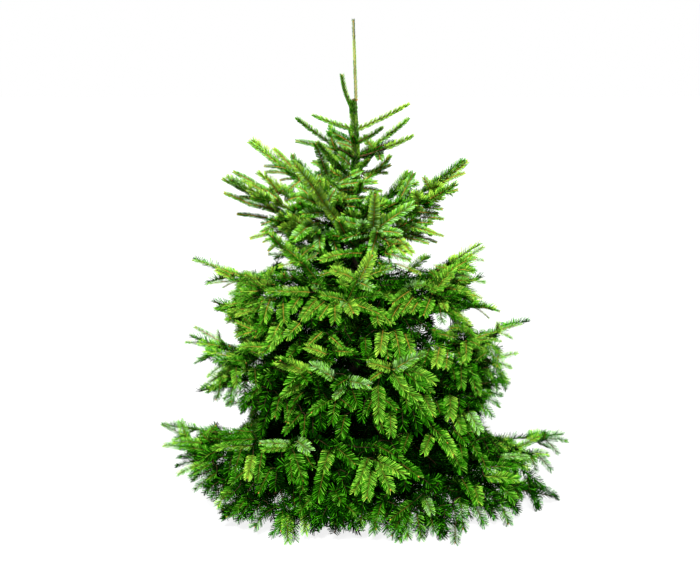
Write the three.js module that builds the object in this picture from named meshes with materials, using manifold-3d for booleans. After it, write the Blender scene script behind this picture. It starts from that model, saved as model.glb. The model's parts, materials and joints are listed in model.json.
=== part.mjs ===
// A cut Christmas fir, undecorated, on a plain wooden cross stand. Millimetres, +Z up.
// The origin is the centre of the stand's flat underside. The front of the tree faces -Y, its right side +X.
import * as THREE from 'three';
import { mergeVertices } from 'three/addons/utils/BufferGeometryUtils.js';
import Module from 'manifold-3d';

const wasm = await Module();
wasm.setup();

// Clearance between pieces that touch in the real tree
const GAP = 0.3;

// Stand: two half-lapped boards and four braces scribed to the trunk
const BOARD_LENGTH = 560;
const BOARD_WIDTH = 70;
const BOARD_THICKNESS = 34;
const BOARD_CHAMFER = 12;
const BRACE_LENGTH = 78;
const BRACE_WIDTH = 26;
const BRACE_HEIGHT = 48;
const BRACE_TOE = 14;

// Trunk, from its flat cut on the stand to the bud at the top of the leader
const TRUNK_FOOT = BOARD_THICKNESS + GAP;
const TREE_TOP = 1592;
const TRUNK_RADIUS = 27;
const ROOT_FLARE = 6;
const FLARE_HEIGHT = 45;
const TOP_WHORL_HEIGHT = 1139;
const TOP_WHORL_RADIUS = 6;
const LEADER_FOOT = 1330;
const LEADER_FOOT_RADIUS = 4;
const LEADER_TIP_RADIUS = 2.4;
const LEADER_BUD_SWELL = 1.4;
const LEADER_BUD_LENGTH = 10;
const TRUNK_SIDES = 10;
const TRUNK_STEPS = 18;
const LEAN_RIGHT = 4;
const LEADER_LEAN_LEFT = 9;

// Boughs and twigs. Angles are in degrees, and each spread is the whole width of a random range.
const BOUGH_SIDES = 5;
const BOUGH_STEPS = 4;
const TWIG_SIDES = 4;
const TWIG_TIP_RADIUS = 3;
const SIDE_ANGLE = 52;
const SIDE_ANGLE_SPREAD = 14;
const SIDE_SHARE = 0.76;
const SIDE_SHARE_SPREAD = 0.22;
const SIDE_RISE_KEPT = 0.6;
const SIDE_DROOP_SPREAD = 0.6;
const SHORTEST_SIDE = 110;
const SIDE_STAGGER = 6;
const HANGING_LENGTH = 135;
const HANGING_PLACE = 0.4;
const HANGING_FORWARD = 0.6;
const HANGING_ACROSS_SPREAD = 0.5;
const HANGING_TURN_SPREAD = 60;
const HANGING_TO_TIP = 4;
const FIRST_SPRAY_PAST_LIMB = 0.02;
const SEED = 2611;

// Sprays of needles: toothed blades, each for a fork of shoots
const SPRAY_THICKNESS = 3;
const SPRAY_SUNK = 8;
const SPRAY_ROLL = 28;
const SPRAY_ROLL_SPREAD = 20;
const HANGING_BREADTH = 0.75;
const END_SPRAY_SHORTEST = 90;
const END_SPRAY_LONGEST = 150;
const END_SPRAY_BREADTH = 0.8;
const SPRAY_TEETH = 2;
const SPRAY_TRIES = [1, 0.82, 0.66, 0.5];
const SPACE_CLEARANCE = 1.5;
const FLOOR_CLEARANCE = 8;
const FLOOR_RISE = 0.2;

// The short shoot that rivals the leader at its foot
const RIVAL = { azimuth: 180, height: 1296, reach: 46, tipHeight: 1412, root: 3.4, tip: 2.4, sag: 4 };

// One row for each whorl. Heights and reaches are from the floor and the trunk's axis. Limb is the share
// of a bough that is bare limb, and the rest is the stem of its mass. Breadth is a spray's width for its
// length. The ceiling is the cone between this whorl's space and the next one up: its height at the
// trunk's axis, and its slope.
const WHORLS = [
  {
    name: 'lowest', years: 6, limb: 0.22, root: 8, sag: 30,
    droop: 0.36, hang: 0.9, breadth: 0.64, ceiling: [215, 0.04],
    boughs: [
      // azimuth, height at the trunk, reach, height at the tip
      [9, 134, 785, 112],
      [62, 122, 620, 60],
      [118, 126, 640, 80],
      [178, 130, 688, 184],
      [228, 120, 625, 50],
      [263, 122, 550, 30],
      [299, 122, 610, 26],
      [338, 128, 724, 38],
    ],
  },
  {
    name: 'second', years: 5, limb: 0.18, root: 7, sag: 36,
    droop: 0.45, hang: 1.2, breadth: 0.62, ceiling: [440, 0.36],
    boughs: [
      [8, 372, 593, 541],
      [64, 350, 520, 470],
      [124, 362, 540, 500],
      [184, 356, 577, 526],
      [242, 340, 508, 558],
      [297, 346, 380, 540],
      [333, 352, 545, 430],
    ],
  },
  {
    name: 'third', years: 4, limb: 0, root: 6, sag: 30,
    droop: 0.4, hang: 1.1, breadth: 0.6, ceiling: [720, 0.55],
    boughs: [
      [354, 616, 437, 850],
      [50, 626, 440, 740],
      [112, 604, 430, 760],
      [178, 618, 562, 785],
      [230, 606, 420, 925],
      [279, 598, 290, 850],
      [323, 602, 500, 698],
    ],
  },
  {
    name: 'fourth', years: 3, limb: 0, root: 5, sag: 26,
    droop: 0.2, hang: 0.9, breadth: 0.56, ceiling: [1030, 0.56],
    boughs: [
      [356, 884, 376, 1129],
      [52, 892, 330, 1060],
      [104, 880, 330, 1090],
      [150, 930, 429, 1178],
      [186, 880, 439, 1077],
      [234, 925, 322, 1150],
      [285, 886, 244, 1046],
    ],
  },
  {
    name: 'fifth', years: 2, limb: 0, root: 4.4, sag: 12,
    droop: 0, hang: 0.2, breadth: 0.42, ceiling: [1212, 0.34],
    boughs: [
      [350, 1140, 203, 1215],
      [30, 1142, 220, 1262],
      [120, 1136, 180, 1235],
      [194, 1139, 205, 1273],
      [236, 1064, 220, 1205],
    ],
  },
  {
    name: 'top', years: 1, limb: 0, root: 3.6, sag: 6,
    droop: 0, hang: 0, breadth: 0.38, ceiling: [1330, 2],
    boughs: [
      [8, 1233, 190, 1317],
      [160, 1233, 156, 1278],
      [310, 1233, 130, 1288],
    ],
  },
];

const rad = THREE.MathUtils.degToRad;
const clamp = THREE.MathUtils.clamp;
const mix = THREE.MathUtils.lerp;
const UP = new THREE.Vector3(0, 0, 1);

// A number from 0 to 1 that is always the same for the same three whole numbers
function chance(a, b, c) {
  let h = (SEED + a * 7919 + b * 104729 + c * 1299721) >>> 0;
  h = Math.imul(h ^ (h >>> 15), 2246822519) >>> 0;
  h = Math.imul(h ^ (h >>> 13), 3266489917) >>> 0;
  h = (h ^ (h >>> 16)) >>> 0;
  return h / 4294967296;
}

// A value round the middle of a range as wide as spread
function varied(middle, spread, a, b, c) {
  return middle + spread * (chance(a, b, c) - 0.5);
}

function outward(azimuth) {
  return new THREE.Vector3(Math.cos(rad(azimuth)), Math.sin(rad(azimuth)), 0);
}

function toSolid(geometry) {
  geometry.deleteAttribute('normal');
  geometry.deleteAttribute('uv');
  const merged = mergeVertices(geometry, 1e-4);
  const mesh = new wasm.Mesh({
    numProp: 3,
    vertProperties: new Float32Array(merged.attributes.position.array),
    triVerts: new Uint32Array(merged.index.array),
  });
  return new wasm.Manifold(mesh);
}

function toGeometry(solid) {
  const mesh = solid.getMesh();
  const geometry = new THREE.BufferGeometry();
  geometry.setAttribute('position', new THREE.BufferAttribute(new Float32Array(mesh.vertProperties), 3));
  geometry.setIndex(new THREE.BufferAttribute(new Uint32Array(mesh.triVerts), 1));
  geometry.computeVertexNormals();
  return geometry;
}

function largestBody(solid) {
  const bodies = solid.decompose();
  return bodies.reduce((best, body) => (body.volume() > best.volume() ? body : best));
}

// A closed limb round a path: place(t) is the path, radius(t) its radius, for t from 0 to 1
function limb(place, radius, sides, steps) {
  const tube = new THREE.CylinderGeometry(1, 1, 1, sides, steps, false, Math.PI / sides);
  const position = tube.attributes.position;
  for (let i = 0; i < position.count; i += 1) {
    const t = position.getY(i) + 0.5;
    const centre = place(t);
    const along = place(Math.min(t + 0.01, 1)).sub(place(Math.max(t - 0.01, 0))).normalize();
    const across = new THREE.Vector3().crossVectors(along, UP);
    if (across.length() < 0.05) {
      across.set(0, -1, 0);
    }
    across.normalize();
    const above = new THREE.Vector3().crossVectors(across, along);
    centre.addScaledVector(across, position.getX(i) * radius(t));
    centre.addScaledVector(above, position.getZ(i) * radius(t));
    position.setXYZ(i, centre.x, centre.y, centre.z);
  }
  return toSolid(tube);
}

// The trunk's axis: it leans a little to the right and its leader back to the left
function trunkAxis(z) {
  const share = clamp(z / LEADER_FOOT, 0, 1);
  const leader = clamp((z - LEADER_FOOT) / (TREE_TOP - LEADER_FOOT), 0, 1);
  return new THREE.Vector3(LEAN_RIGHT * share * share - LEADER_LEAN_LEFT * leader, 0, z);
}

function trunkRadius(z) {
  const flare = ROOT_FLARE * Math.exp((TRUNK_FOOT - z) / FLARE_HEIGHT);
  if (z < TOP_WHORL_HEIGHT) {
    return mix(TRUNK_RADIUS, TOP_WHORL_RADIUS, z / TOP_WHORL_HEIGHT) + flare;
  }
  if (z < LEADER_FOOT) {
    const share = (z - TOP_WHORL_HEIGHT) / (LEADER_FOOT - TOP_WHORL_HEIGHT);
    return mix(TOP_WHORL_RADIUS, LEADER_FOOT_RADIUS, share);
  }
  const share = (z - LEADER_FOOT) / (TREE_TOP - LEADER_FOOT);
  const fromBud = (z - TREE_TOP + LEADER_BUD_LENGTH) / LEADER_BUD_LENGTH;
  return mix(LEADER_FOOT_RADIUS, LEADER_TIP_RADIUS, share) + LEADER_BUD_SWELL * Math.exp(-4 * fromBud * fromBud);
}

// Steps are closer together at the flared foot and at the bud
function trunkHeight(t) {
  return mix(TRUNK_FOOT, TREE_TOP, mix(t, THREE.MathUtils.smoothstep(t, 0, 1), 0.75));
}

function trunkSolid(extra) {
  const radius = (t) => trunkRadius(trunkHeight(t)) + extra;
  return limb((t) => trunkAxis(trunkHeight(t)), radius, TRUNK_SIDES, TRUNK_STEPS);
}

// A bough's path, a curve that leaves the trunk's axis, sags and rises to the tip
function boughPath(azimuth, height, reach, tipHeight, sag) {
  const start = trunkAxis(height);
  const end = outward(azimuth).multiplyScalar(reach).setZ(tipHeight);
  const middle = start.clone().add(end).multiplyScalar(0.5);
  middle.z -= sag;
  return new THREE.QuadraticBezierCurve3(start, middle, end);
}

// The space of one mass: between the upright planes halfway to its neighbours, between two cones and
// clear of the stand. The planes meet in the trunk's axis.
class Space {
  constructor(centre, before, after, floor, ceiling) {
    this.centre = centre;
    this.inwards = [outward(before + 90), outward(after - 90)];
    this.floor = floor;
    this.ceiling = ceiling;
  }

  holds(point) {
    const local = point.clone().sub(this.centre).setZ(0);
    const r = local.length();
    const overStand = r > BOARD_LENGTH / 2 + FLOOR_CLEARANCE || point.z > BOARD_THICKNESS + FLOOR_CLEARANCE;
    const between = this.inwards.every((inward) => local.dot(inward) > SPACE_CLEARANCE);
    const above = point.z > Math.max(this.floor[0] + this.floor[1] * r + SPACE_CLEARANCE, FLOOR_CLEARANCE);
    return overStand && between && above && point.z < this.ceiling[0] + this.ceiling[1] * r - SPACE_CLEARANCE;
  }

  // Trims what crowds into a neighbour at the trunk
  trim(solid) {
    return this.inwards.reduce((rest, inward) => {
      const offset = inward.dot(this.centre) + GAP / 2;
      return rest.trimByPlane(inward.toArray(), offset);
    }, solid);
  }
}

// A spray of needles in outline: pointed at its root, with forward teeth down both sides
function sprayOutline(length, width, teeth) {
  const half = [];
  for (let i = 0; i < teeth; i += 1) {
    const share = i / teeth;
    half.push([length * mix(0.48, 1, share), width * mix(0.5, 0.2, share)]);
    half.push([length * mix(0.5, 1, share), width * mix(0.2, 0.1, share)]);
  }
  const shape = new THREE.Shape();
  shape.moveTo(0, 0);
  half.forEach(([x, y]) => shape.lineTo(x, -y));
  shape.lineTo(length, 0);
  half.reverse().forEach(([x, y]) => shape.lineTo(x, y));
  shape.closePath();
  return shape;
}

// The blade at root, pointing along, turned about that line by roll from lying flat
function bladeAt(root, along, roll, length, width, teeth) {
  const flat = new THREE.Vector3().crossVectors(UP, along).normalize();
  const across = flat.clone().applyAxisAngle(along, roll);
  const facing = new THREE.Vector3().crossVectors(along, across).normalize();
  const blade = new THREE.ExtrudeGeometry(sprayOutline(length, width, teeth), {
    depth: SPRAY_THICKNESS, bevelEnabled: false,
  });
  blade.translate(0, 0, -SPRAY_THICKNESS / 2);
  blade.applyMatrix4(new THREE.Matrix4().makeBasis(along, across, facing).setPosition(root));
  return blade;
}

// The longest spray of the wanted shape that keeps to the mass's own space, or none
function spray(root, along, roll, length, share, teeth, space) {
  for (const size of SPRAY_TRIES) {
    const blade = bladeAt(root, along, roll, length * size, length * size * share, teeth);
    const position = blade.attributes.position;
    const corner = new THREE.Vector3();
    let inside = true;
    for (let i = 0; i < position.count && inside; i += 1) {
      corner.fromBufferAttribute(position, i);
      inside = space.holds(corner);
    }
    if (inside) {
      return [toSolid(blade)];
    }
  }
  return [];
}

const trunk = trunkSolid(0);
const trunkSleeve = trunkSolid(GAP);

// The pair of sprays that one year's growth sends out to both sides
function sideSprays(whorl, path, u, own, space) {
  const length = path.getLength();
  const along = path.getTangentAt(u);
  const across = new THREE.Vector3().crossVectors(UP, along).normalize();
  return [-1, 1].flatMap((side) => {
    const which = side + 2;
    const angle = rad(varied(SIDE_ANGLE, SIDE_ANGLE_SPREAD, own, which, 0));
    const root = path.getPointAt(u + (side * SIDE_STAGGER) / length);
    const share = SIDE_SHARE * varied(1, SIDE_SHARE_SPREAD, own, which, 1);
    const long = Math.max(length * (1 - u) * share, SHORTEST_SIDE);
    const out = along.clone().multiplyScalar(Math.cos(angle)).addScaledVector(across, side * Math.sin(angle));
    out.z = out.z * SIDE_RISE_KEPT - whorl.droop * varied(1, SIDE_DROOP_SPREAD, own, which, 2);
    // Near the floor a spray lies flat or rises, as it can't droop
    out.z = Math.max(out.z, (FLOOR_CLEARANCE + FLOOR_RISE * long - root.z) / long);
    out.normalize();
    const roll = side * rad(varied(SPRAY_ROLL, SPRAY_ROLL_SPREAD, own, which, 3));
    return spray(root, out, roll, long, whorl.breadth, SPRAY_TEETH, space);
  });
}

// The short spray that hangs below one year's growth
function hangingSpray(whorl, path, u, own, space) {
  const root = path.getPointAt(u + HANGING_PLACE / whorl.years);
  const along = path.getTangentAt(u);
  const across = new THREE.Vector3().crossVectors(UP, along).normalize();
  const down = along.clone().multiplyScalar(HANGING_FORWARD);
  down.addScaledVector(across, varied(0, HANGING_ACROSS_SPREAD, own, 7, 0));
  down.z = -whorl.hang;
  down.normalize();
  const roll = rad(varied(90, HANGING_TURN_SPREAD, own, 7, 1));
  return spray(root, down, roll, HANGING_LENGTH * mix(1.1, 0.5, u), HANGING_BREADTH, 1, space);
}

// Everything of one bough: its limb as far as the mass, and the mass on its stem
function growBough(whorl, index, key, below) {
  const [azimuth, height, reach, tipHeight] = whorl.boughs[index];
  const count = whorl.boughs.length;
  const previous = whorl.boughs[(index + count - 1) % count][0];
  const next = whorl.boughs[(index + 1) % count][0];
  const before = azimuth - ((azimuth - previous + 720) % 360) / 2;
  const after = azimuth + ((next - azimuth + 720) % 360) / 2;
  const space = new Space(trunkAxis(whorl.boughs[0][1]).setZ(0), before, after, below.ceiling, whorl.ceiling);
  const path = boughPath(azimuth, height, reach, tipHeight, whorl.sag);
  const length = path.getLength();
  const radius = (u) => mix(whorl.root, TWIG_TIP_RADIUS, Math.sqrt(u));
  const last = clamp(length / whorl.years, END_SPRAY_SHORTEST, END_SPRAY_LONGEST);
  const start = whorl.limb > 0 ? whorl.limb + GAP / length : 0;
  const stem = (t) => mix(start, 1 - (last - SPRAY_SUNK) / length, t);
  const pieces = [limb((t) => path.getPointAt(stem(t)), (t) => radius(stem(t)), TWIG_SIDES, whorl.years)];
  const firstYear = Math.ceil((whorl.limb + FIRST_SPRAY_PAST_LIMB) * whorl.years);
  for (let year = firstYear; year < whorl.years; year += 1) {
    const own = key * 10 + year;
    pieces.push(...sideSprays(whorl, path, year / whorl.years, own, space));
    if (year < whorl.years - 1 || whorl.years < HANGING_TO_TIP) {
      pieces.push(...hangingSpray(whorl, path, year / whorl.years, own, space));
    }
  }
  const endRoot = path.getPointAt(1 - last / length);
  const endAlong = path.getPointAt(1).sub(endRoot).normalize();
  const endBreadth = whorl.breadth * END_SPRAY_BREADTH;
  pieces.push(...spray(endRoot, endAlong, rad(SPRAY_ROLL), last, endBreadth, SPRAY_TEETH, space));
  const mass = wasm.Manifold.union(pieces);
  if (whorl.limb > 0) {
    const bare = limb(
      (t) => path.getPointAt(t * whorl.limb),
      (t) => radius(t * whorl.limb),
      BOUGH_SIDES,
      BOUGH_STEPS,
    );
    return { mass: largestBody(mass), bough: largestBody(space.trim(bare.subtract(trunkSleeve))) };
  }
  return { mass: largestBody(space.trim(mass.subtract(trunkSleeve))) };
}

// The short rival shoot: a slim stem that ends in a narrow spray
function growRival() {
  const path = boughPath(RIVAL.azimuth, RIVAL.height, RIVAL.reach, RIVAL.tipHeight, RIVAL.sag);
  return limb((t) => path.getPointAt(t), (t) => mix(RIVAL.root, RIVAL.tip, t), BOUGH_SIDES, BOUGH_STEPS)
    .subtract(trunkSleeve);
}

// A board's side view: chamfered ends, and a half-lap notch in its top or its underside
function boardOutline(notchOnTop) {
  const end = BOARD_LENGTH / 2;
  const lap = BOARD_WIDTH / 2 + GAP;
  const notch = notchOnTop ? (BOARD_THICKNESS - GAP) / 2 : (BOARD_THICKNESS + GAP) / 2;
  const under = [[-end, 0], [end, 0]];
  const over = [
    [end, BOARD_THICKNESS - BOARD_CHAMFER], [end - BOARD_CHAMFER, BOARD_THICKNESS],
    [BOARD_CHAMFER - end, BOARD_THICKNESS], [-end, BOARD_THICKNESS - BOARD_CHAMFER],
  ];
  if (notchOnTop) {
    over.splice(2, 0, [lap, BOARD_THICKNESS], [lap, notch], [-lap, notch], [-lap, BOARD_THICKNESS]);
  } else {
    under.splice(1, 0, [-lap, 0], [-lap, notch], [lap, notch], [lap, 0]);
  }
  return new THREE.Shape([...under, ...over].map(([x, y]) => new THREE.Vector2(x, y)));
}

// A plate of the given side view, standing upright, centred on the vertical plane through azimuth
function uprightPlate(outline, thickness, azimuth, height) {
  const plate = new THREE.ExtrudeGeometry(outline, { depth: thickness, bevelEnabled: false });
  plate.translate(0, 0, -thickness / 2);
  plate.rotateX(Math.PI / 2);
  plate.rotateZ(rad(azimuth));
  plate.translate(0, 0, height);
  return toSolid(plate);
}

function braceOutline() {
  const shape = new THREE.Shape();
  const far = TRUNK_RADIUS + BRACE_LENGTH;
  const near = TRUNK_RADIUS - BRACE_TOE;
  shape.moveTo(near, 0);
  shape.lineTo(far, 0);
  shape.lineTo(far, BRACE_TOE);
  shape.lineTo(TRUNK_RADIUS + BRACE_TOE, BRACE_HEIGHT);
  shape.lineTo(near, BRACE_HEIGHT);
  shape.closePath();
  return shape;
}

const bark = new THREE.MeshStandardMaterial({ color: 0x4a3a2a, roughness: 0.9, metalness: 0 });
const twigBark = new THREE.MeshStandardMaterial({ color: 0x6b4a26, roughness: 0.85, metalness: 0 });
const needles = new THREE.MeshStandardMaterial({ color: 0x3c6d15, roughness: 0.6, metalness: 0 });
const planed = new THREE.MeshStandardMaterial({ color: 0xc9a56e, roughness: 0.7, metalness: 0 });

const tree = new THREE.Group();

function add(name, solid, material) {
  const mesh = new THREE.Mesh(toGeometry(solid), material.clone());
  mesh.name = name;
  tree.add(mesh);
}

add('stand_board_across', uprightPlate(boardOutline(true), BOARD_WIDTH, 0, 0), planed);
add('stand_board_along', uprightPlate(boardOutline(false), BOARD_WIDTH, 90, 0), planed);
[0, 90, 180, 270].forEach((azimuth, index) => {
  const brace = uprightPlate(braceOutline(), BRACE_WIDTH, azimuth, BOARD_THICKNESS + GAP);
  add(`stand_brace_${index + 1}`, largestBody(brace.subtract(trunkSleeve)), planed);
});
add('trunk', trunk, bark);
add('shoot_beside_leader', growRival(), twigBark);
const ground = { ceiling: [0, 0] };
WHORLS.forEach((whorl, level) => {
  const below = level > 0 ? WHORLS[level - 1] : ground;
  whorl.boughs.forEach((row, index) => {
    const grown = growBough(whorl, index, level * 10 + index, below);
    if (grown.bough) {
      add(`bough_${whorl.name}_${index + 1}`, grown.bough, twigBark);
    }
    add(`needles_${whorl.name}_${index + 1}`, grown.mass, needles);
  });
});

export default tree;
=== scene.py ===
"""A cut Christmas fir, undecorated, on a plain wooden cross stand. Metres, +Z up, front towards -Y."""

import functools
import json
import math

import bpy
import numpy as np
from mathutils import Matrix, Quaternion, Vector

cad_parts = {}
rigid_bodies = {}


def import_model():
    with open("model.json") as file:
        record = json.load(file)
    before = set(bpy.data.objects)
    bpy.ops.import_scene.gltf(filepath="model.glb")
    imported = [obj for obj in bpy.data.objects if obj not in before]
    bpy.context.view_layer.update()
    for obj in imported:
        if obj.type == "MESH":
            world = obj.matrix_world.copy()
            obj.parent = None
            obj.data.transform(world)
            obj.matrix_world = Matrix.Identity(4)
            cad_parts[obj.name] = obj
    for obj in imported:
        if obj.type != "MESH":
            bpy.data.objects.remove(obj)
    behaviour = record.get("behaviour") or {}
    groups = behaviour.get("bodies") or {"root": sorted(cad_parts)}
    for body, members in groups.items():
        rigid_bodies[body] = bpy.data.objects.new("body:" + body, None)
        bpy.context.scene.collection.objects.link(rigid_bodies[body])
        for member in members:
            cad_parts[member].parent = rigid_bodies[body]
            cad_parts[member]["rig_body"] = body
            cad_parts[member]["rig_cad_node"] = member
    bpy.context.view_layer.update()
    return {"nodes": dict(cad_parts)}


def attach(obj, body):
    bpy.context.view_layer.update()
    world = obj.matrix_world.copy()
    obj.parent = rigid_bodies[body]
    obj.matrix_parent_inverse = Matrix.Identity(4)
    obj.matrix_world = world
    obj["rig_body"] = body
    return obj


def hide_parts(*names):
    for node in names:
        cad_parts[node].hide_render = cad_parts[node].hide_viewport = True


bl_info = {
    "name": "Cut Christmas fir",
    "version": (1, 0, 0),
    "blender": (4, 5, 0),
    "location": "3D View > Sidebar > Fir",
    "description": "Grows the twigs, needles and buds of a cut fir on its trunk and stand",
    "category": "Add Mesh",
}

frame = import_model()

# Stand
WELD_WITHIN = 1e-5
FLAT_WITHIN = 1
EDGE_ROUNDING = 0.0016
SCREW_HEAD_RADIUS = 0.0042
SCREW_HEAD_HEIGHT = 0.0016
SCREW_OUT = 0.088
SCREW_UP = 0.0483
SCREW_RIM = 0.2
SCREW_SOCKET = 0.35
SCREW_SOCKET_DEPTH = 0.4

# Trunk
TRUNK_FOOT = 0.0343
TREE_TOP = 1.592
TRUNK_RADIUS = 0.027
ROOT_FLARE = 0.006
FLARE_HEIGHT = 0.045
TOP_WHORL_HEIGHT = 1.139
TOP_WHORL_RADIUS = 0.006
LEADER_FOOT = 1.330
LEADER_FOOT_RADIUS = 0.004
LEADER_TIP_RADIUS = 0.0024
LEADER_BUD_SWELL = 0.0014
LEADER_BUD_LENGTH = 0.010
LEADER_BUD_FALL = 4
LEAN_RIGHT = 0.004
LEADER_LEAN_LEFT = 0.009
TRUNK_SIDES = 20
TRUNK_RINGS = 64
COLLAR_SWELL = 0.14
COLLAR_REACH = 0.014
RIVAL = {
    "azimuth": 180, "height": 1.284, "reach": 0.043, "tip": 1.412, "bow": 0.017,
    "root": 0.0026, "end": 0.0016, "first": 0.1, "knob": 0.1, "steps": 14,
}
# Where one shoot of the needle-clad stem ends and the next begins, and how the leader is shared out
STEM_NODES = (1.03, 1.085, TOP_WHORL_HEIGHT, 1.186, 1.233, 1.28, LEADER_FOOT - 0.004)
STEM_TURN = 60
LEADER_PIECES = 4
CLAD_LEAN_FROM = 1.2
CLAD_LEAN = 0.09

# Relief of the bark: how coarse it is, how finely it is broken up and how far it stands out
TRUNK_RELIEF = (0.012, 3, 0.0016)
BOUGH_RELIEF = (0.007, 2, 0.0007)
# Limbs: their sides and steps, how far out in the trunk they start, as a share of its radius, and what their
# taper leaves at the tip
LIMB_SIDES = 8
LIMB_STEPS_A_YEAR = 4
LIMB_START = 0.4
LIMB_TAPER = 0.45

# Boughs and twigs, as in the tree's own rule. Angles are in degrees.
TWIG_TIP_RADIUS = 0.003
SIDE_ANGLE_SPREAD = 14
SIDE_SHARE = 0.76
SIDE_SHARE_SPREAD = 0.22
SIDE_RISE_KEPT = 0.6
SIDE_DROOP_SPREAD = 0.6
SHORTEST_SIDE = 0.110
SIDE_STAGGER = 0.006
HANGING_LENGTH = 0.135
HANGING_PLACE = 0.4
HANGING_FORWARD = 0.6
HANGING_ACROSS_SPREAD = 0.5
HANGING_TURN_SPREAD = 60
FIRST_SPRAY_PAST_LIMB = 0.02
SPRAY_ROLL = 28
SPRAY_ROLL_SPREAD = 20
SPRAY_TRIES = (1, 0.82, 0.66, 0.5)
SMALLEST_TRY = 0.4
FLOOR_CLEARANCE = 0.008
FLOOR_RISE = 0.2
SEED = 2611

# The finer twigs, which the rule goes on to make
FINE_ANGLE = 48
FINE_ANGLE_SPREAD = 12
FINE_SHARE = 0.8
FINE_SHARE_SPREAD = 0.24
FINE_SHORTEST = 0.062
FINE_DROOP = 0.3
FINE_TILT_SPREAD = 0.24
FINE_ORDERS = 3
TIP_NEEDLES = 0.7
SHOOT_RADIUS = 0.0009
YEARLY_THICKENING = 0.0005
BETWEEN_LENGTH = 0.066
BETWEEN_ANGLE = 58
TWIG_FLOOR = 0.014
NEEDLE_FLOOR = 0.0015
SPACE_SLACK = 0.03
CEILING_SLACK = 0.05
FINE_STEPS = 12
FINE_STAGGER = 0.02
FINE_THICK = 0.75
FINE_LIFT_SPREAD = 0.3
FINE_DROOP_MIDDLE = 2
FINE_DROOP_SPREAD = 2
SIDE_DROOP_ALONG = (1.15, 0.55)
SIDE_THICK = 0.7
HANGING_ALONG = (1.1, 0.5)
HANGING_BOW = 0.05
HANGING_THICK = 0.0022
BETWEEN_STAGGER = 0.12
BETWEEN_SPREAD = 0.4
# The short twigs between two years' pairs: their size, what is added to their keys, and their share of the
# thickness of what they stand on
BETWEEN_ON_TWIGS = (1, 311, 0.6)
BETWEEN_ON_BOUGHS = (1.2, 911, 0.5)
# A spray's corners, as shares of its length and of its breadth
SPRAY_CORNERS = ((0.48, 0.5), (0.48, -0.5), (0.74, 0.35), (0.74, -0.35), (1, 0))

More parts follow.
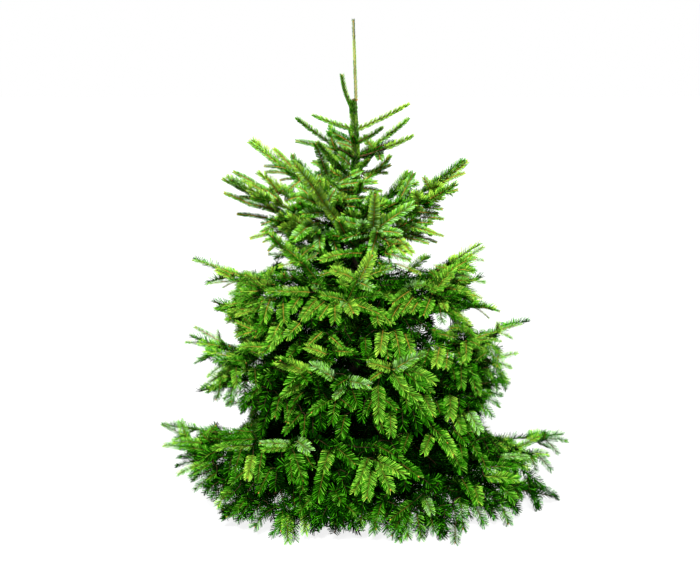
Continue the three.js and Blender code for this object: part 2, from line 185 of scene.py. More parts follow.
# One row for each whorl, in the order of growth from the ground. A bough is its azimuth, its height at the
# trunk, its reach and its height at the tip. Limb is the share of a bough that has no side twigs, root its
# radius at the trunk, and yearly the length of a year's shoot. Angle, side and droop belong to the side
# twigs, hang to the hanging ones, and between is the chance of a short twig between two years. The ceiling
# is a cone over the whorl: its height at the trunk and its slope. Bow lifts the middle of a side twig, as a
# share of its length. Brush is how far the needles stand all round a shoot, and dense how close they are.
WHORLS = (
    {
        "name": "lowest", "dense": 1.0, "angle": 50, "brush": 0.0, "yearly": 0.098, "side": 0.85, "years": 6,
        "limb": 0.22, "root": 0.008, "sag": 0.030, "droop": 0.36, "hang": 0.9,
        "breadth": 0.64, "ceiling": (0.215, 0.04), "bow": 0.05, "needle": 0.0255, "between": 0.35,
        "boughs": (
            (9, 0.134, 0.785, 0.112), (62, 0.122, 0.620, 0.060), (118, 0.126, 0.640, 0.080),
            (178, 0.130, 0.688, 0.184), (228, 0.120, 0.625, 0.050), (263, 0.122, 0.550, 0.030),
            (299, 0.122, 0.610, 0.026), (338, 0.128, 0.724, 0.038),
        ),
    },
    {
        "name": "second", "dense": 1.0, "angle": 50, "brush": 0.0, "yearly": 0.094, "side": 1.0, "years": 5,
        "limb": 0.18, "root": 0.007, "sag": 0.036, "droop": 0.42, "hang": 1.2,
        "breadth": 0.62, "ceiling": (0.440, 0.36), "bow": 0.07, "needle": 0.0255, "between": 0.4,
        "boughs": (
            (8, 0.372, 0.593, 0.541), (64, 0.350, 0.520, 0.470), (124, 0.362, 0.540, 0.500),
            (184, 0.356, 0.577, 0.526), (242, 0.340, 0.508, 0.558), (297, 0.346, 0.380, 0.540),
            (333, 0.352, 0.545, 0.430),
        ),
    },
    {
        "name": "third", "dense": 1.05, "angle": 46, "brush": 0.1, "yearly": 0.09, "side": 1.0, "years": 4,
        "limb": 0, "root": 0.006, "sag": 0.030, "droop": 0.3, "hang": 1.1,
        "breadth": 0.6, "ceiling": (0.720, 0.55), "bow": 0.05, "needle": 0.0245, "between": 0.4,
        "boughs": (
            (354, 0.616, 0.437, 0.850), (50, 0.626, 0.440, 0.740), (112, 0.604, 0.430, 0.760),
            (178, 0.618, 0.562, 0.785), (230, 0.606, 0.420, 0.925), (279, 0.598, 0.290, 0.850),
            (323, 0.602, 0.500, 0.698),
        ),
    },
    {
        "name": "fourth", "dense": 2.1, "angle": 40, "brush": 0.4, "yearly": 0.09, "side": 0.6, "years": 3,
        "limb": 0, "root": 0.005, "sag": 0.026, "droop": 0.04, "hang": 0,
        "breadth": 0.56, "ceiling": (1.030, 0.56), "bow": 0.0, "needle": 0.0230, "between": 0.15,
        "boughs": (
            (356, 0.884, 0.376, 1.129), (52, 0.892, 0.330, 1.060), (104, 0.880, 0.330, 1.090),
            (150, 0.930, 0.429, 1.178), (186, 0.880, 0.439, 1.077), (234, 0.925, 0.322, 1.150),
            (285, 0.886, 0.244, 1.046),
        ),
    },
    {
        "name": "fifth", "dense": 3.3, "angle": 34, "brush": 0.9, "yearly": 0.1, "side": 0.7, "years": 2,
        "limb": 0.6, "root": 0.0044, "sag": 0.012, "droop": -0.05, "hang": 0,
        "breadth": 0.42, "ceiling": (1.212, 0.34), "bow": -0.04, "needle": 0.0140, "between": 0,
        "boughs": (
            (350, 1.140, 0.203, 1.215), (30, 1.142, 0.220, 1.262), (120, 1.136, 0.180, 1.235),
            (194, 1.139, 0.205, 1.273), (236, 1.064, 0.220, 1.205),
        ),
    },
    {
        "name": "top", "dense": 3.8, "angle": 40, "brush": 1.0, "yearly": 0.1, "side": 1.0, "years": 1,
        "limb": 0, "root": 0.0036, "sag": 0.006, "droop": 0, "hang": 0,
        "breadth": 0.38, "ceiling": (1.330, 2), "bow": -0.04, "needle": 0.0120, "between": 0,
        "boughs": ((8, 1.233, 0.190, 1.317), (160, 1.233, 0.156, 1.278), (325, 1.190, 0.118, 1.245)),
    },
)

# The lesser boughs that stand on the trunk between the whorls, from the lowest up
LESSER_BOUGHS = 60
LESSER_LOWEST = 0.09
LESSER_HIGHEST = 1.06
LESSER_TURN = 137.5
LESSER_REACH_LOW = 0.46
LESSER_REACH_HIGH = 0.15
LESSER_RISE_LOW = -0.05
LESSER_RISE_HIGH = 0.5
LESSER_SAG = 0.02
LESSER_ROOT = 0.004
LESSER_TURN_SPREAD = 40
LESSER_REACH_BEND = 0.8
LESSER_REACH_MIDDLE = 0.9
LESSER_REACH_SPREAD = 0.4
LESSER_RISE_SPREAD = 0.3
LESSER_LOWEST_TIP = 0.04
LESSER_YEARLY = 0.13
LESSER_YEARS = 5
LESSER_TIP = 0.0018
LESSER_HANGING_PLACE = 0.8
LESSER_UNDER_WHORL = 0.12

# The outer shoots: how close their needles are, and how thick and how bowed they are
OUTER_DENSE = 1.45
CROWN_DENSE = 2.0
OUTER_BRUSH = 0.3
OUTER_THICK = 0.0012
CROWN_THICK = 0.0018
OUTER_TAPER = 0.65
OUTER_BOW = 0.05
# How far the upper side of their needles turns outwards from the trunk, and to the one who looks
OUTER_TURN_OUT = 0.3
OUTER_TURN_FRONT = 0.9
CROWN_TURN_FRONT = 1.3
# The share of low shoots with buds. Then how a shoot's colour moves a step by chance, told by the colour that
# it has: darker below a height and once more at the floor, as painted shade, and lighter above it, as
# painted light.
LOW_BUDS = 0.3
DIM_BELOW = 0.5
PAINTED_SHADE_SHARES = (0.9, 0.6, 0.4, 0.0, 0.0)
PAINTED_SHADE_FLOOR = 0.14
PAINTED_SHADE_FLOOR_SHARE = 0.6
PAINTED_LIGHT_UPPER = (0.0, 0.08, 0.30, 0.5, 1.0)
PAINTED_LIGHT_CROWN = (0.0, 0.25, 0.7, 0.9, 1.0)
# Each shoot is turned round the trunk by these angles, with what is added to its key. To the sides go only
# shoots near the middle and the front, with their place across scaled by the first of these that has room.
TURN_KEYS = {0: -1, 90: 27000, 180: 1, 270: 27001}
SIDE_WIDTH = 0.32
SIDE_DEPTH = -0.15
SIDE_PUSHES = (1.04, 0.95, 0.86, 0.77, 0.68)
# The link twigs: the longest that a turned copy may have, how much longer one that leads outwards counts, its
# bend and its thickness next to the shoot's
LONGEST_LINK = 0.07
OUTWARD_LINK_COST = 0.05
LINK_BEND = 0.2
LINK_THICKER = 1.2
LINK_PLACES = (0, 0.25, 0.5, 0.75, 1)
FAR_AWAY = 9
# From a row in the picture to a shoot, in metres and pixels. Tips under one of the picture's lines are lifted
# a little, and an end that would be in the floor comes nearer until it is clear of it.
SHOOT_DROP = 0.004
CROWN_BROADER = 1.04
LOW_TIPS = 514
LOW_TIP_LIFT = 2
FOOT_INSET = 0.035
DEEPEST_SLANT = 0.05
SHORTEST_SHOOT = 0.05
LOWEST_END = 0.014
NEAREST = -0.9
FRONT_LIMIT = 0.572
NEEDLE_OF_WIDTH = 0.00206
LONGEST_NEEDLE = 0.026
# The keys of the first of each kind of shoot
FIRST_KEYS = {
    "inner": 60, "apron": 160, "paired": 200, "stem": 300, "clad": 9000, "leader": 9010, "rival": 9020,
    "outer": 20000,
}

# The apron: arching boughs with hanging fans, over the lowest whorl. Azimuth, height, reach, height at tip.
APRON = (
    (5, 0.23, 0.39, 0.17), (38, 0.24, 0.38, 0.19), (80, 0.26, 0.38, 0.20), (125, 0.25, 0.38, 0.19),
    (160, 0.23, 0.40, 0.17), (200, 0.24, 0.42, 0.19), (222, 0.23, 0.43, 0.18), (246, 0.27, 0.42, 0.22),
    (268, 0.22, 0.40, 0.16), (286, 0.27, 0.42, 0.23), (308, 0.23, 0.43, 0.18), (330, 0.25, 0.42, 0.20),
    (350, 0.20, 0.44, 0.16),
)
APRON_ARCH = 0.05
APRON_YEARLY = 0.115
APRON_MANNER = {"droop": 0.85, "hang": 1.4}

# Boughs that share a node with a whorl's own: whorl, azimuth, height, reach, height at the tip, sag
PAIRED_BOUGHS = (
    (0, 249, 0.122, 0.560, 0.032, 0.02), (0, 284, 0.120, 0.490, 0.024, 0.02),
    (0, 318, 0.125, 0.620, 0.054, 0.02), (0, 205, 0.122, 0.560, 0.060, 0.01),
    (0, 193, 0.128, 0.600, 0.120, 0.02), (0, 352, 0.128, 0.600, 0.070, 0.02),
    (1, 178, 0.480, 0.470, 0.610, 0.03), (1, 206, 0.420, 0.560, 0.400, -0.02),
    (1, 355, 0.400, 0.540, 0.480, 0.02), (2, 205, 0.560, 0.500, 0.690, 0.03),
    (2, 340, 0.600, 0.440, 0.760, 0.03), (2, 300, 0.600, 0.380, 0.720, 0.02),
    (3, 318, 0.850, 0.260, 0.960, 0.02), (3, 258, 0.840, 0.240, 0.960, 0.02),
    (3, 215, 0.850, 0.260, 0.960, 0.02), (3, 338, 0.890, 0.350, 1.064, 0.02),
    (3, 200, 0.860, 0.390, 0.985, 0.02), (3, 165, 0.900, 0.340, 1.075, 0.02),
)
PAIRED_YEARLY = (0.118, 0.114, 0.11, 0.115)

# Single shoots on the stem between the two top whorls
CROWN_SHOOTS = (
    (100, 1.192, 0.090, 1.224), (262, 1.188, 0.050, 1.215), (55, 1.100, 0.120, 1.150),
    (150, 1.096, 0.110, 1.130), (300, 1.104, 0.090, 1.140),
)
CROWN_SHOOT_SAG = 0.004
CROWN_SHOOT_ROOT = 0.0022
CROWN_SHOOT_END = 0.0014

# The outer shoots that stand clear of the rest, by tier, as read off the picture: the foot and the
# tip, across and down in pixels, in the crown with how far back each lies in metres, then the spray's width
# in pixels and which of the needle colours it has. The crown's shadows are dark shoots behind the others.
CROWN_SPRAYS = (
    (305, 185, 0.10, 288, 171, 0.14, 6, 2), (290, 173, 0.13, 249, 141, 0.20, 5.5, 1),
    (289, 168, 0.14, 265, 165, 0.10, 5, 3), (289, 173, 0.13, 266, 171, 0.07, 5, 1),
    (292, 178, 0.12, 281, 179, 0.08, 4, 3), (294, 168, 0.13, 274, 148, 0.16, 5.5, 1),
    (297, 172, 0.10, 293, 154, 0.08, 7, 1), (300, 180, 0.08, 288, 190, 0.06, 7, 2),
    (287, 217, 0, 266, 202, 0, 7, 3), (267, 203, 0, 223, 178, -0.04, 5, 1),
    (277, 197, 0.02, 258, 184, 0.03, 6, 2), (259, 185, 0.03, 234, 171, 0.02, 5, 1),
    (264, 190, 0, 244, 180, -0.01, 5, 1), (278, 192, 0.03, 268, 178, 0, 6, 1),
    (272, 208, -0.02, 250, 203, -0.04, 7, 1), (252, 204, -0.04, 225, 192, -0.07, 5, 1),
    (265, 200, 0, 240, 196, 0.02, 5, 3), (268, 217, 0, 238, 213, -0.02, 4.5, 3),
    (278, 219, 0, 262, 223, -0.03, 6, 3), (290, 198, 0, 283, 190, 0, 9, 1),
    (285, 200, 0.02, 302, 195, 0, 9, 1), (275, 212, -0.03, 268, 204, -0.05, 8, 1),
    (280, 205, -0.05, 277, 198, -0.08, 8, 1), (290, 220, -0.02, 263, 231, -0.10, 8, 1),
    (283, 230, -0.04, 251, 237, -0.08, 5, 1), (280, 238, -0.06, 269, 249, -0.08, 4, 2),
    (345, 232, -0.08, 323, 201, -0.16, 10, 1), (323, 201, -0.16, 296, 165, -0.26, 11, 0),
    (323, 206, -0.15, 301, 196, -0.20, 9, 1), (333, 186, -0.05, 328, 179, -0.12, 12, 1),
    (333, 184, -0.05, 362, 169, -0.03, 7, 1), (338, 184, -0.05, 376, 181, -0.08, 6, 2),
    (340, 189, -0.02, 366, 190, -0.02, 5, 3), (350, 186, -0.05, 381, 190, -0.06, 5, 1),
    (342, 199, -0.05, 368, 197, -0.08, 6, 1), (345, 205, -0.05, 372, 208, -0.08, 8, 2),
    (328, 203, -0.14, 334, 190, -0.16, 7, 5), (330, 212, -0.10, 303, 213, -0.18, 10, 2),
    (327, 174, -0.02, 316, 143, -0.12, 8, 1), (329, 168, 0.02, 313, 161, 0.05, 6, 2),
    (333, 168, 0.05, 366, 164, 0.05, 6, 3), (348, 166, 0, 338, 156, -0.05, 7, 1),
    (366, 175, 0.05, 390, 164, 0.06, 5, 3), (362, 172, 0.05, 387, 172, 0.06, 5, 1),
    (324, 172, 0.05, 312, 178, 0.02, 8, 3), (320, 185, -0.04, 308, 176, -0.06, 8, 2),
    (396, 210, -0.02, 429, 194, -0.02, 8, 1), (429, 192, -0.02, 447, 178, -0.025, 8, 1),
    (447, 178, -0.025, 467, 161, -0.03, 6, 1), (446, 179, -0.025, 464, 172, -0.05, 5, 1),
    (430, 190, -0.02, 424, 177, -0.04, 7, 1), (428, 196, -0.02, 457, 189, -0.06, 5, 2),
    (430, 199, -0.02, 440, 198, -0.05, 4, 2), (424, 203, -0.03, 439, 205, -0.06, 4, 3),
    (418, 207, -0.04, 442, 208, -0.10, 5, 1), (420, 211, -0.02, 437, 213, -0.03, 6, 1),
    (422, 216, -0.05, 443, 218, -0.10, 5, 1), (412, 222, -0.05, 432, 222, -0.10, 6, 1),
    (408, 225, -0.06, 434, 232, -0.12, 6, 1), (416, 229, -0.05, 443, 235, -0.10, 4, 1),
    (412, 234, -0.05, 436, 241, -0.10, 4, 2), (402, 236, -0.08, 428, 242, -0.14, 5, 1),
    (398, 238, -0.12, 412, 252, -0.17, 8, 0), (388, 240, -0.12, 405, 252, -0.18, 9, 0),
    (395, 222, -0.05, 420, 228, -0.1, 9, 2), (395, 208, 0.02, 413, 173, 0.06, 8, 1),
    (395, 208, -0.02, 380, 200, -0.03, 9, 2), (404, 205, 0, 410, 192, 0, 9, 1),
    (411, 200, -0.02, 417, 190, 0, 7, 3), (373, 229, -0.16, 375, 194, -0.236, 10, 0),
    (371, 228, -0.16, 341, 219, -0.20, 9, 1), (376, 228, -0.16, 412, 204, -0.14, 10, 1),
    (376, 238, -0.18, 377, 231, -0.26, 11, 5), (376, 236, -0.17, 370, 257, -0.20, 9, 2),
    (369, 231, -0.16, 343, 238, -0.20, 8, 2), (379, 230, -0.16, 400, 232, -0.19, 8, 2),
    (384, 236, -0.16, 392, 250, -0.2, 9, 2), (360, 228, -0.1, 352, 222, -0.14, 9, 2),
    (315, 221, -0.10, 295, 237, -0.20, 13, 1), (318, 222, -0.08, 320, 246, -0.16, 11, 2),
    (330, 228, -0.08, 336, 247, -0.14, 10, 3), (298, 218, -0.05, 294, 213, -0.12, 10, 5),
    (318, 246, -0.10, 296, 248, -0.16, 6, 5), (345, 190, 0, 350, 200, -0.05, 8, 2),
    (385, 205, 0.03, 375, 215, 0, 9, 3), (290, 208, 0.02, 305, 205, 0.04, 8, 3),
    (310, 195, 0, 300, 186, 0.03, 8, 2), (330, 157, 0.03, 322, 150, 0.05, 5, 2),
    (405, 215, 0, 420, 214, 0.02, 6, 3), (353, 143, -0.005, 329, 130, -0.03, 8, 2),
    (351, 146, -0.02, 339, 142, -0.05, 5, 5), (335, 148, -0.02, 329, 131, -0.03, 6.5, 2),
    (333, 149, -0.02, 297, 140, -0.08, 6, 2), (374, 148, 0.03, 364, 137, 0.02, 9, 1),
    (375, 147, 0.03, 394, 141, 0.03, 7, 3), (378, 151, -0.02, 380, 158, -0.04, 9, 1),
    (350, 164, -0.02, 339, 154, -0.06, 9, 1), (346, 157, -0.01, 326, 154, 0, 8, 3),
    (362, 157, 0.02, 380, 146, 0.06, 7, 3), (345, 154, 0.03, 330, 146, 0.05, 7, 3),
)
CROWN_SHADOWS = (
    (350, 232, 0.03, 322, 240, 0.00, 12, 4), (356, 232, 0.03, 386, 240, 0.00, 12, 4),
    (350, 246, 0.02, 324, 252, -0.03, 12, 4), (356, 246, 0.02, 388, 252, -0.03, 12, 4),
    (352, 218, 0.03, 326, 226, 0.00, 12, 4), (356, 218, 0.03, 384, 226, 0.00, 12, 4),
    (352, 258, 0.00, 330, 264, -0.05, 12, 4), (358, 258, 0.00, 384, 264, -0.05, 12, 4),
)
UPPER_SPRAYS = (
    (320, 282, 298, 257, 9, 2), (298, 257, 271, 237, 12, 1), (273, 238, 264, 241, 5, 1),
    (297, 256, 269, 253, 5, 2), (302, 260, 280, 265, 6, 1), (300, 256, 313, 245, 8, 1),
    (303, 262, 315, 255, 9, 5), (277, 245, 269, 250, 3, 2), (275, 292, 262, 286, 6, 2),
    (262, 286, 236, 271, 4, 2), (240, 274, 193, 259, 4, 5), (234, 278, 216, 269, 6, 0),
    (233, 273, 218, 267, 5, 1), (257, 281, 246, 274, 9, 0), (240, 280, 207, 283, 4, 5),
    (256, 286, 230, 278, 6, 2), (258, 290, 230, 292, 7, 1), (290, 290, 268, 291, 9, 1),
    (291, 277, 262, 276, 6, 2), (286, 280, 284, 273, 8, 1), (262, 295, 245, 299, 8, 3),
    (250, 300, 215, 308, 5, 1), (258, 302, 240, 303, 7, 2), (262, 307, 225, 311, 5, 1),
    (258, 308, 235, 315, 5, 1), (262, 302, 250, 316, 7, 3), (254, 329, 225, 318, 5, 1),
    (254, 328, 244, 317, 6, 1), (254, 330, 236, 336, 6, 1), (266, 316, 256, 330, 9, 2),
    (264, 326, 255, 336, 8, 1), (272, 298, 262, 300, 10, 2), (310, 291, 286, 291, 9, 1),
    (322, 295, 315, 288, 11, 5), (270, 298, 264, 318, 12, 1), (283, 302, 284, 321, 12, 1),
    (268, 318, 262, 330, 10, 2), (317, 297, 302, 317, 9, 1), (300, 282, 292, 275, 9, 2),
    (360, 278, 372, 255, 15, 0), (357, 279, 334, 269, 11, 0), (334, 270, 321, 274, 6, 1),
    (360, 278, 390, 267, 9, 1), (350, 290, 340, 283, 13, 1), (358, 281, 371, 287, 10, 5),
    (347, 301, 357, 280, 8, 3), (345, 299, 321, 294, 9, 1), (348, 300, 343, 305, 9, 5),
    (347, 300, 353, 311, 14, 0), (350, 302, 378, 312, 9, 2), (376, 309, 378, 322, 13, 1),
    (378, 309, 391, 322, 9, 1), (350, 299, 377, 294, 9, 2), (380, 292, 391, 298, 9, 1),
    (409, 290, 393, 302, 10, 1), (413, 296, 402, 311, 9, 1), (419, 299, 412, 311, 8, 1),
    (335, 301, 335, 320, 13, 1), (330, 303, 320, 316, 9, 1), (325, 300, 305, 318, 8, 1),
    (312, 308, 312, 323, 12, 3), (362, 252, 342, 253, 8, 2), (345, 252, 321, 259, 8, 1),
    (385, 252, 409, 259, 8, 1), (395, 262, 420, 273, 5, 1), (390, 263, 406, 274, 5, 3),
    (380, 279, 408, 279, 9, 3), (375, 285, 402, 284, 9, 3), (408, 288, 422, 284, 10, 5),
    (432, 293, 452, 268, 12, 1), (452, 268, 483, 246, 6.5, 1), (453, 268, 470, 258, 6, 1),
    (466, 259, 483, 259, 5, 5), (451, 269, 436, 265, 6, 0), (456, 268, 472, 270, 8, 1),
    (455, 274, 468, 276, 10, 5), (458, 279, 485, 281, 6, 1), (446, 287, 468, 291, 8, 1),
    (466, 292, 481, 297, 6, 1), (436, 297, 462, 294, 7, 3), (444, 303, 470, 303, 8, 3),
    (468, 303, 499, 310, 5, 1), (472, 304, 489, 317, 3, 2), (450, 308, 470, 322, 6, 1),
    (440, 307, 462, 320, 7, 2), (445, 308, 468, 308, 5, 3), (440, 296, 445, 307, 9, 0),
    (430, 298, 424, 313, 11, 1), (440, 308, 442, 321, 10, 3), (445, 278, 420, 276, 9, 3),
    (440, 280, 430, 270, 8, 2), (415, 318, 434, 332, 8, 3), (405, 318, 413, 334, 8, 3),
    (421, 320, 418, 336, 6, 3), (300, 322, 288, 335, 11, 2), (280, 322, 272, 338, 12, 2),
    (330, 258, 318, 252, 8, 2), (340, 262, 336, 270, 9, 2), (310, 270, 300, 262, 9, 3),
    (395, 268, 380, 262, 9, 2), (383, 286, 372, 296, 10, 2), (400, 303, 392, 316, 11, 2),
    (358, 252, 366, 246, 8, 2), (300, 296, 292, 308, 11, 2), (310, 282, 322, 284, 10, 3),
    (425, 285, 436, 290, 9, 1),
)
MIDDLE_SPRAYS = (
    (262, 366, 222, 342, 6, 3), (224, 343, 195, 326, 5.5, 1), (223, 342, 219, 331, 8, 1),
    (217, 346, 186, 341, 5.5, 1), (219, 345, 200, 342, 9, 1), (232, 356, 206, 350, 9, 1),
    (215, 352, 195, 362, 5, 1), (245, 360, 215, 360, 8, 2), (226, 362, 208, 375, 6, 1),
    (232, 368, 202, 387, 6, 1), (228, 375, 208, 391, 6, 1), (222, 375, 218, 397, 5, 2),
    (236, 386, 224, 398, 6, 1), (244, 383, 232, 400, 7, 1), (245, 400, 227, 404, 6, 1),
    (256, 388, 240, 402, 7, 1), (262, 385, 248, 398, 7, 2), (253, 398, 241, 413, 4, 2),
    (260, 403, 249, 418, 5, 2), (236, 366, 237, 384, 10, 1), (255, 368, 256, 384, 12, 1),
    (265, 346, 240, 346, 8, 1), (263, 356, 251, 350, 8, 1), (268, 390, 263, 410, 10, 2),
    (270, 405, 262, 430, 10, 3), (280, 395, 275, 415, 10, 2), (287, 402, 288, 421, 6, 1),
    (311, 372, 279, 361, 13, 0), (309, 378, 284, 394, 10, 1), (303, 391, 291, 403, 7, 1),
    (295, 402, 286, 420, 6, 1), (327, 398, 312, 411, 8, 1), (302, 411, 285, 431, 8, 1),
    (305, 414, 304, 433, 8, 2), (313, 414, 313, 433, 9, 2), (332, 372, 313, 365, 12, 5),
    (334, 377, 322, 370, 10, 5), (326, 353, 307, 346, 9, 0), (335, 350, 350, 351, 9, 1),
    (347, 380, 368, 384, 11, 5), (349, 377, 334, 386, 9, 1), (345, 386, 335, 396, 7, 5),
    (332, 398, 311, 412, 9, 1), (336, 397, 332, 421, 11, 1), (338, 396, 353, 408, 8, 1),
    (345, 414, 341, 433, 13, 2), (352, 388, 357, 403, 14, 2), (373, 397, 366, 412, 8, 1),
    (378, 384, 379, 418, 12, 1), (380, 395, 396, 408, 8, 1), (390, 411, 391, 433, 11, 1),
    (376, 416, 384, 429, 10, 2), (402, 408, 403, 426, 11, 2), (391, 368, 370, 362, 10, 0),
    (382, 371, 370, 379, 6, 1), (393, 369, 413, 357, 12, 5), (412, 361, 424, 353, 9, 5),
    (398, 366, 422, 386, 14, 1), (408, 368, 433, 380, 12, 1), (416, 374, 430, 391, 11, 1),
    (393, 371, 404, 390, 12, 0), (399, 384, 417, 399, 14, 1), (411, 394, 428, 420, 14, 1),
    (405, 390, 407, 407, 11, 1), (424, 394, 432, 413, 10, 1), (383, 329, 380, 351, 12, 1),
    (395, 329, 400, 353, 13, 1), (405, 333, 411, 351, 11, 1), (386, 343, 388, 356, 10, 2),
    (365, 336, 366, 351, 10, 2), (322, 331, 310, 342, 7, 1), (330, 335, 342, 346, 7, 1),
    (284, 330, 268, 346, 14, 1), (474, 338, 497, 330, 4, 2), (497, 330, 522, 323, 4, 5),
    (497, 331, 512, 337, 5, 1), (497, 331, 498, 323, 8, 0), (474, 338, 461, 326, 7, 2),
    (463, 327, 450, 327, 6, 1), (476, 339, 501, 340, 5, 1), (456, 337, 435, 332, 8, 1),
    (484, 340, 500, 352, 7, 1), (498, 350, 497, 364, 12, 1), (498, 357, 517, 352, 6, 1),
    (488, 361, 511, 366, 7, 1), (490, 360, 503, 381, 11, 1), (496, 364, 507, 382, 9, 1),
    (500, 376, 506, 388, 8, 1), (487, 366, 497, 389, 7, 1), (470, 362, 475, 386, 10, 2),
    (475, 378, 478, 393, 9, 1), (461, 365, 461, 385, 11, 1), (452, 366, 455, 378, 8, 1),
    (440, 344, 436, 363, 12, 1), (448, 349, 446, 365, 11, 1), (458, 350, 463, 362, 10, 1),
    (466, 339, 466, 357, 11, 1), (478, 392, 502, 394, 7, 1), (483, 395, 499, 404, 8, 1),
    (482, 402, 492, 415, 9, 1), (478, 399, 486, 413, 9, 1), (468, 410, 479, 429, 11, 5),
    (460, 424, 471, 435, 8, 1), (454, 413, 462, 429, 11, 1), (450, 393, 450, 416, 13, 1),
    (460, 393, 458, 411, 11, 2), (468, 395, 486, 397, 6, 3), (453, 401, 475, 404, 6, 3),
    (480, 345, 470, 340, 8, 1), (430, 345, 425, 360, 11, 2), (372, 352, 366, 360, 9, 3),
    (345, 395, 350, 385, 9, 2), (295, 380, 283, 380, 9, 3), (300, 345, 290, 355, 10, 3),
    (318, 385, 305, 390, 10, 3), (425, 370, 438, 375, 10, 2), (440, 382, 452, 388, 10, 3),
    (435, 398, 440, 412, 11, 2), (270, 365, 285, 372, 9, 3), (250, 372, 246, 362, 9, 2),
    (275, 345, 262, 352, 9, 2), (242, 350, 230, 345, 7, 2), (476, 360, 486, 352, 9, 1),
    (468, 372, 480, 370, 9, 3), (415, 335, 425, 345, 9, 3), (345, 330, 352, 340, 9, 3),
    (320, 398, 318, 380, 9, 3), (262, 372, 272, 384, 11, 3), (365, 400, 362, 418, 11, 3),
    (318, 400, 322, 425, 11, 3), (410, 400, 418, 430, 11, 3),
)
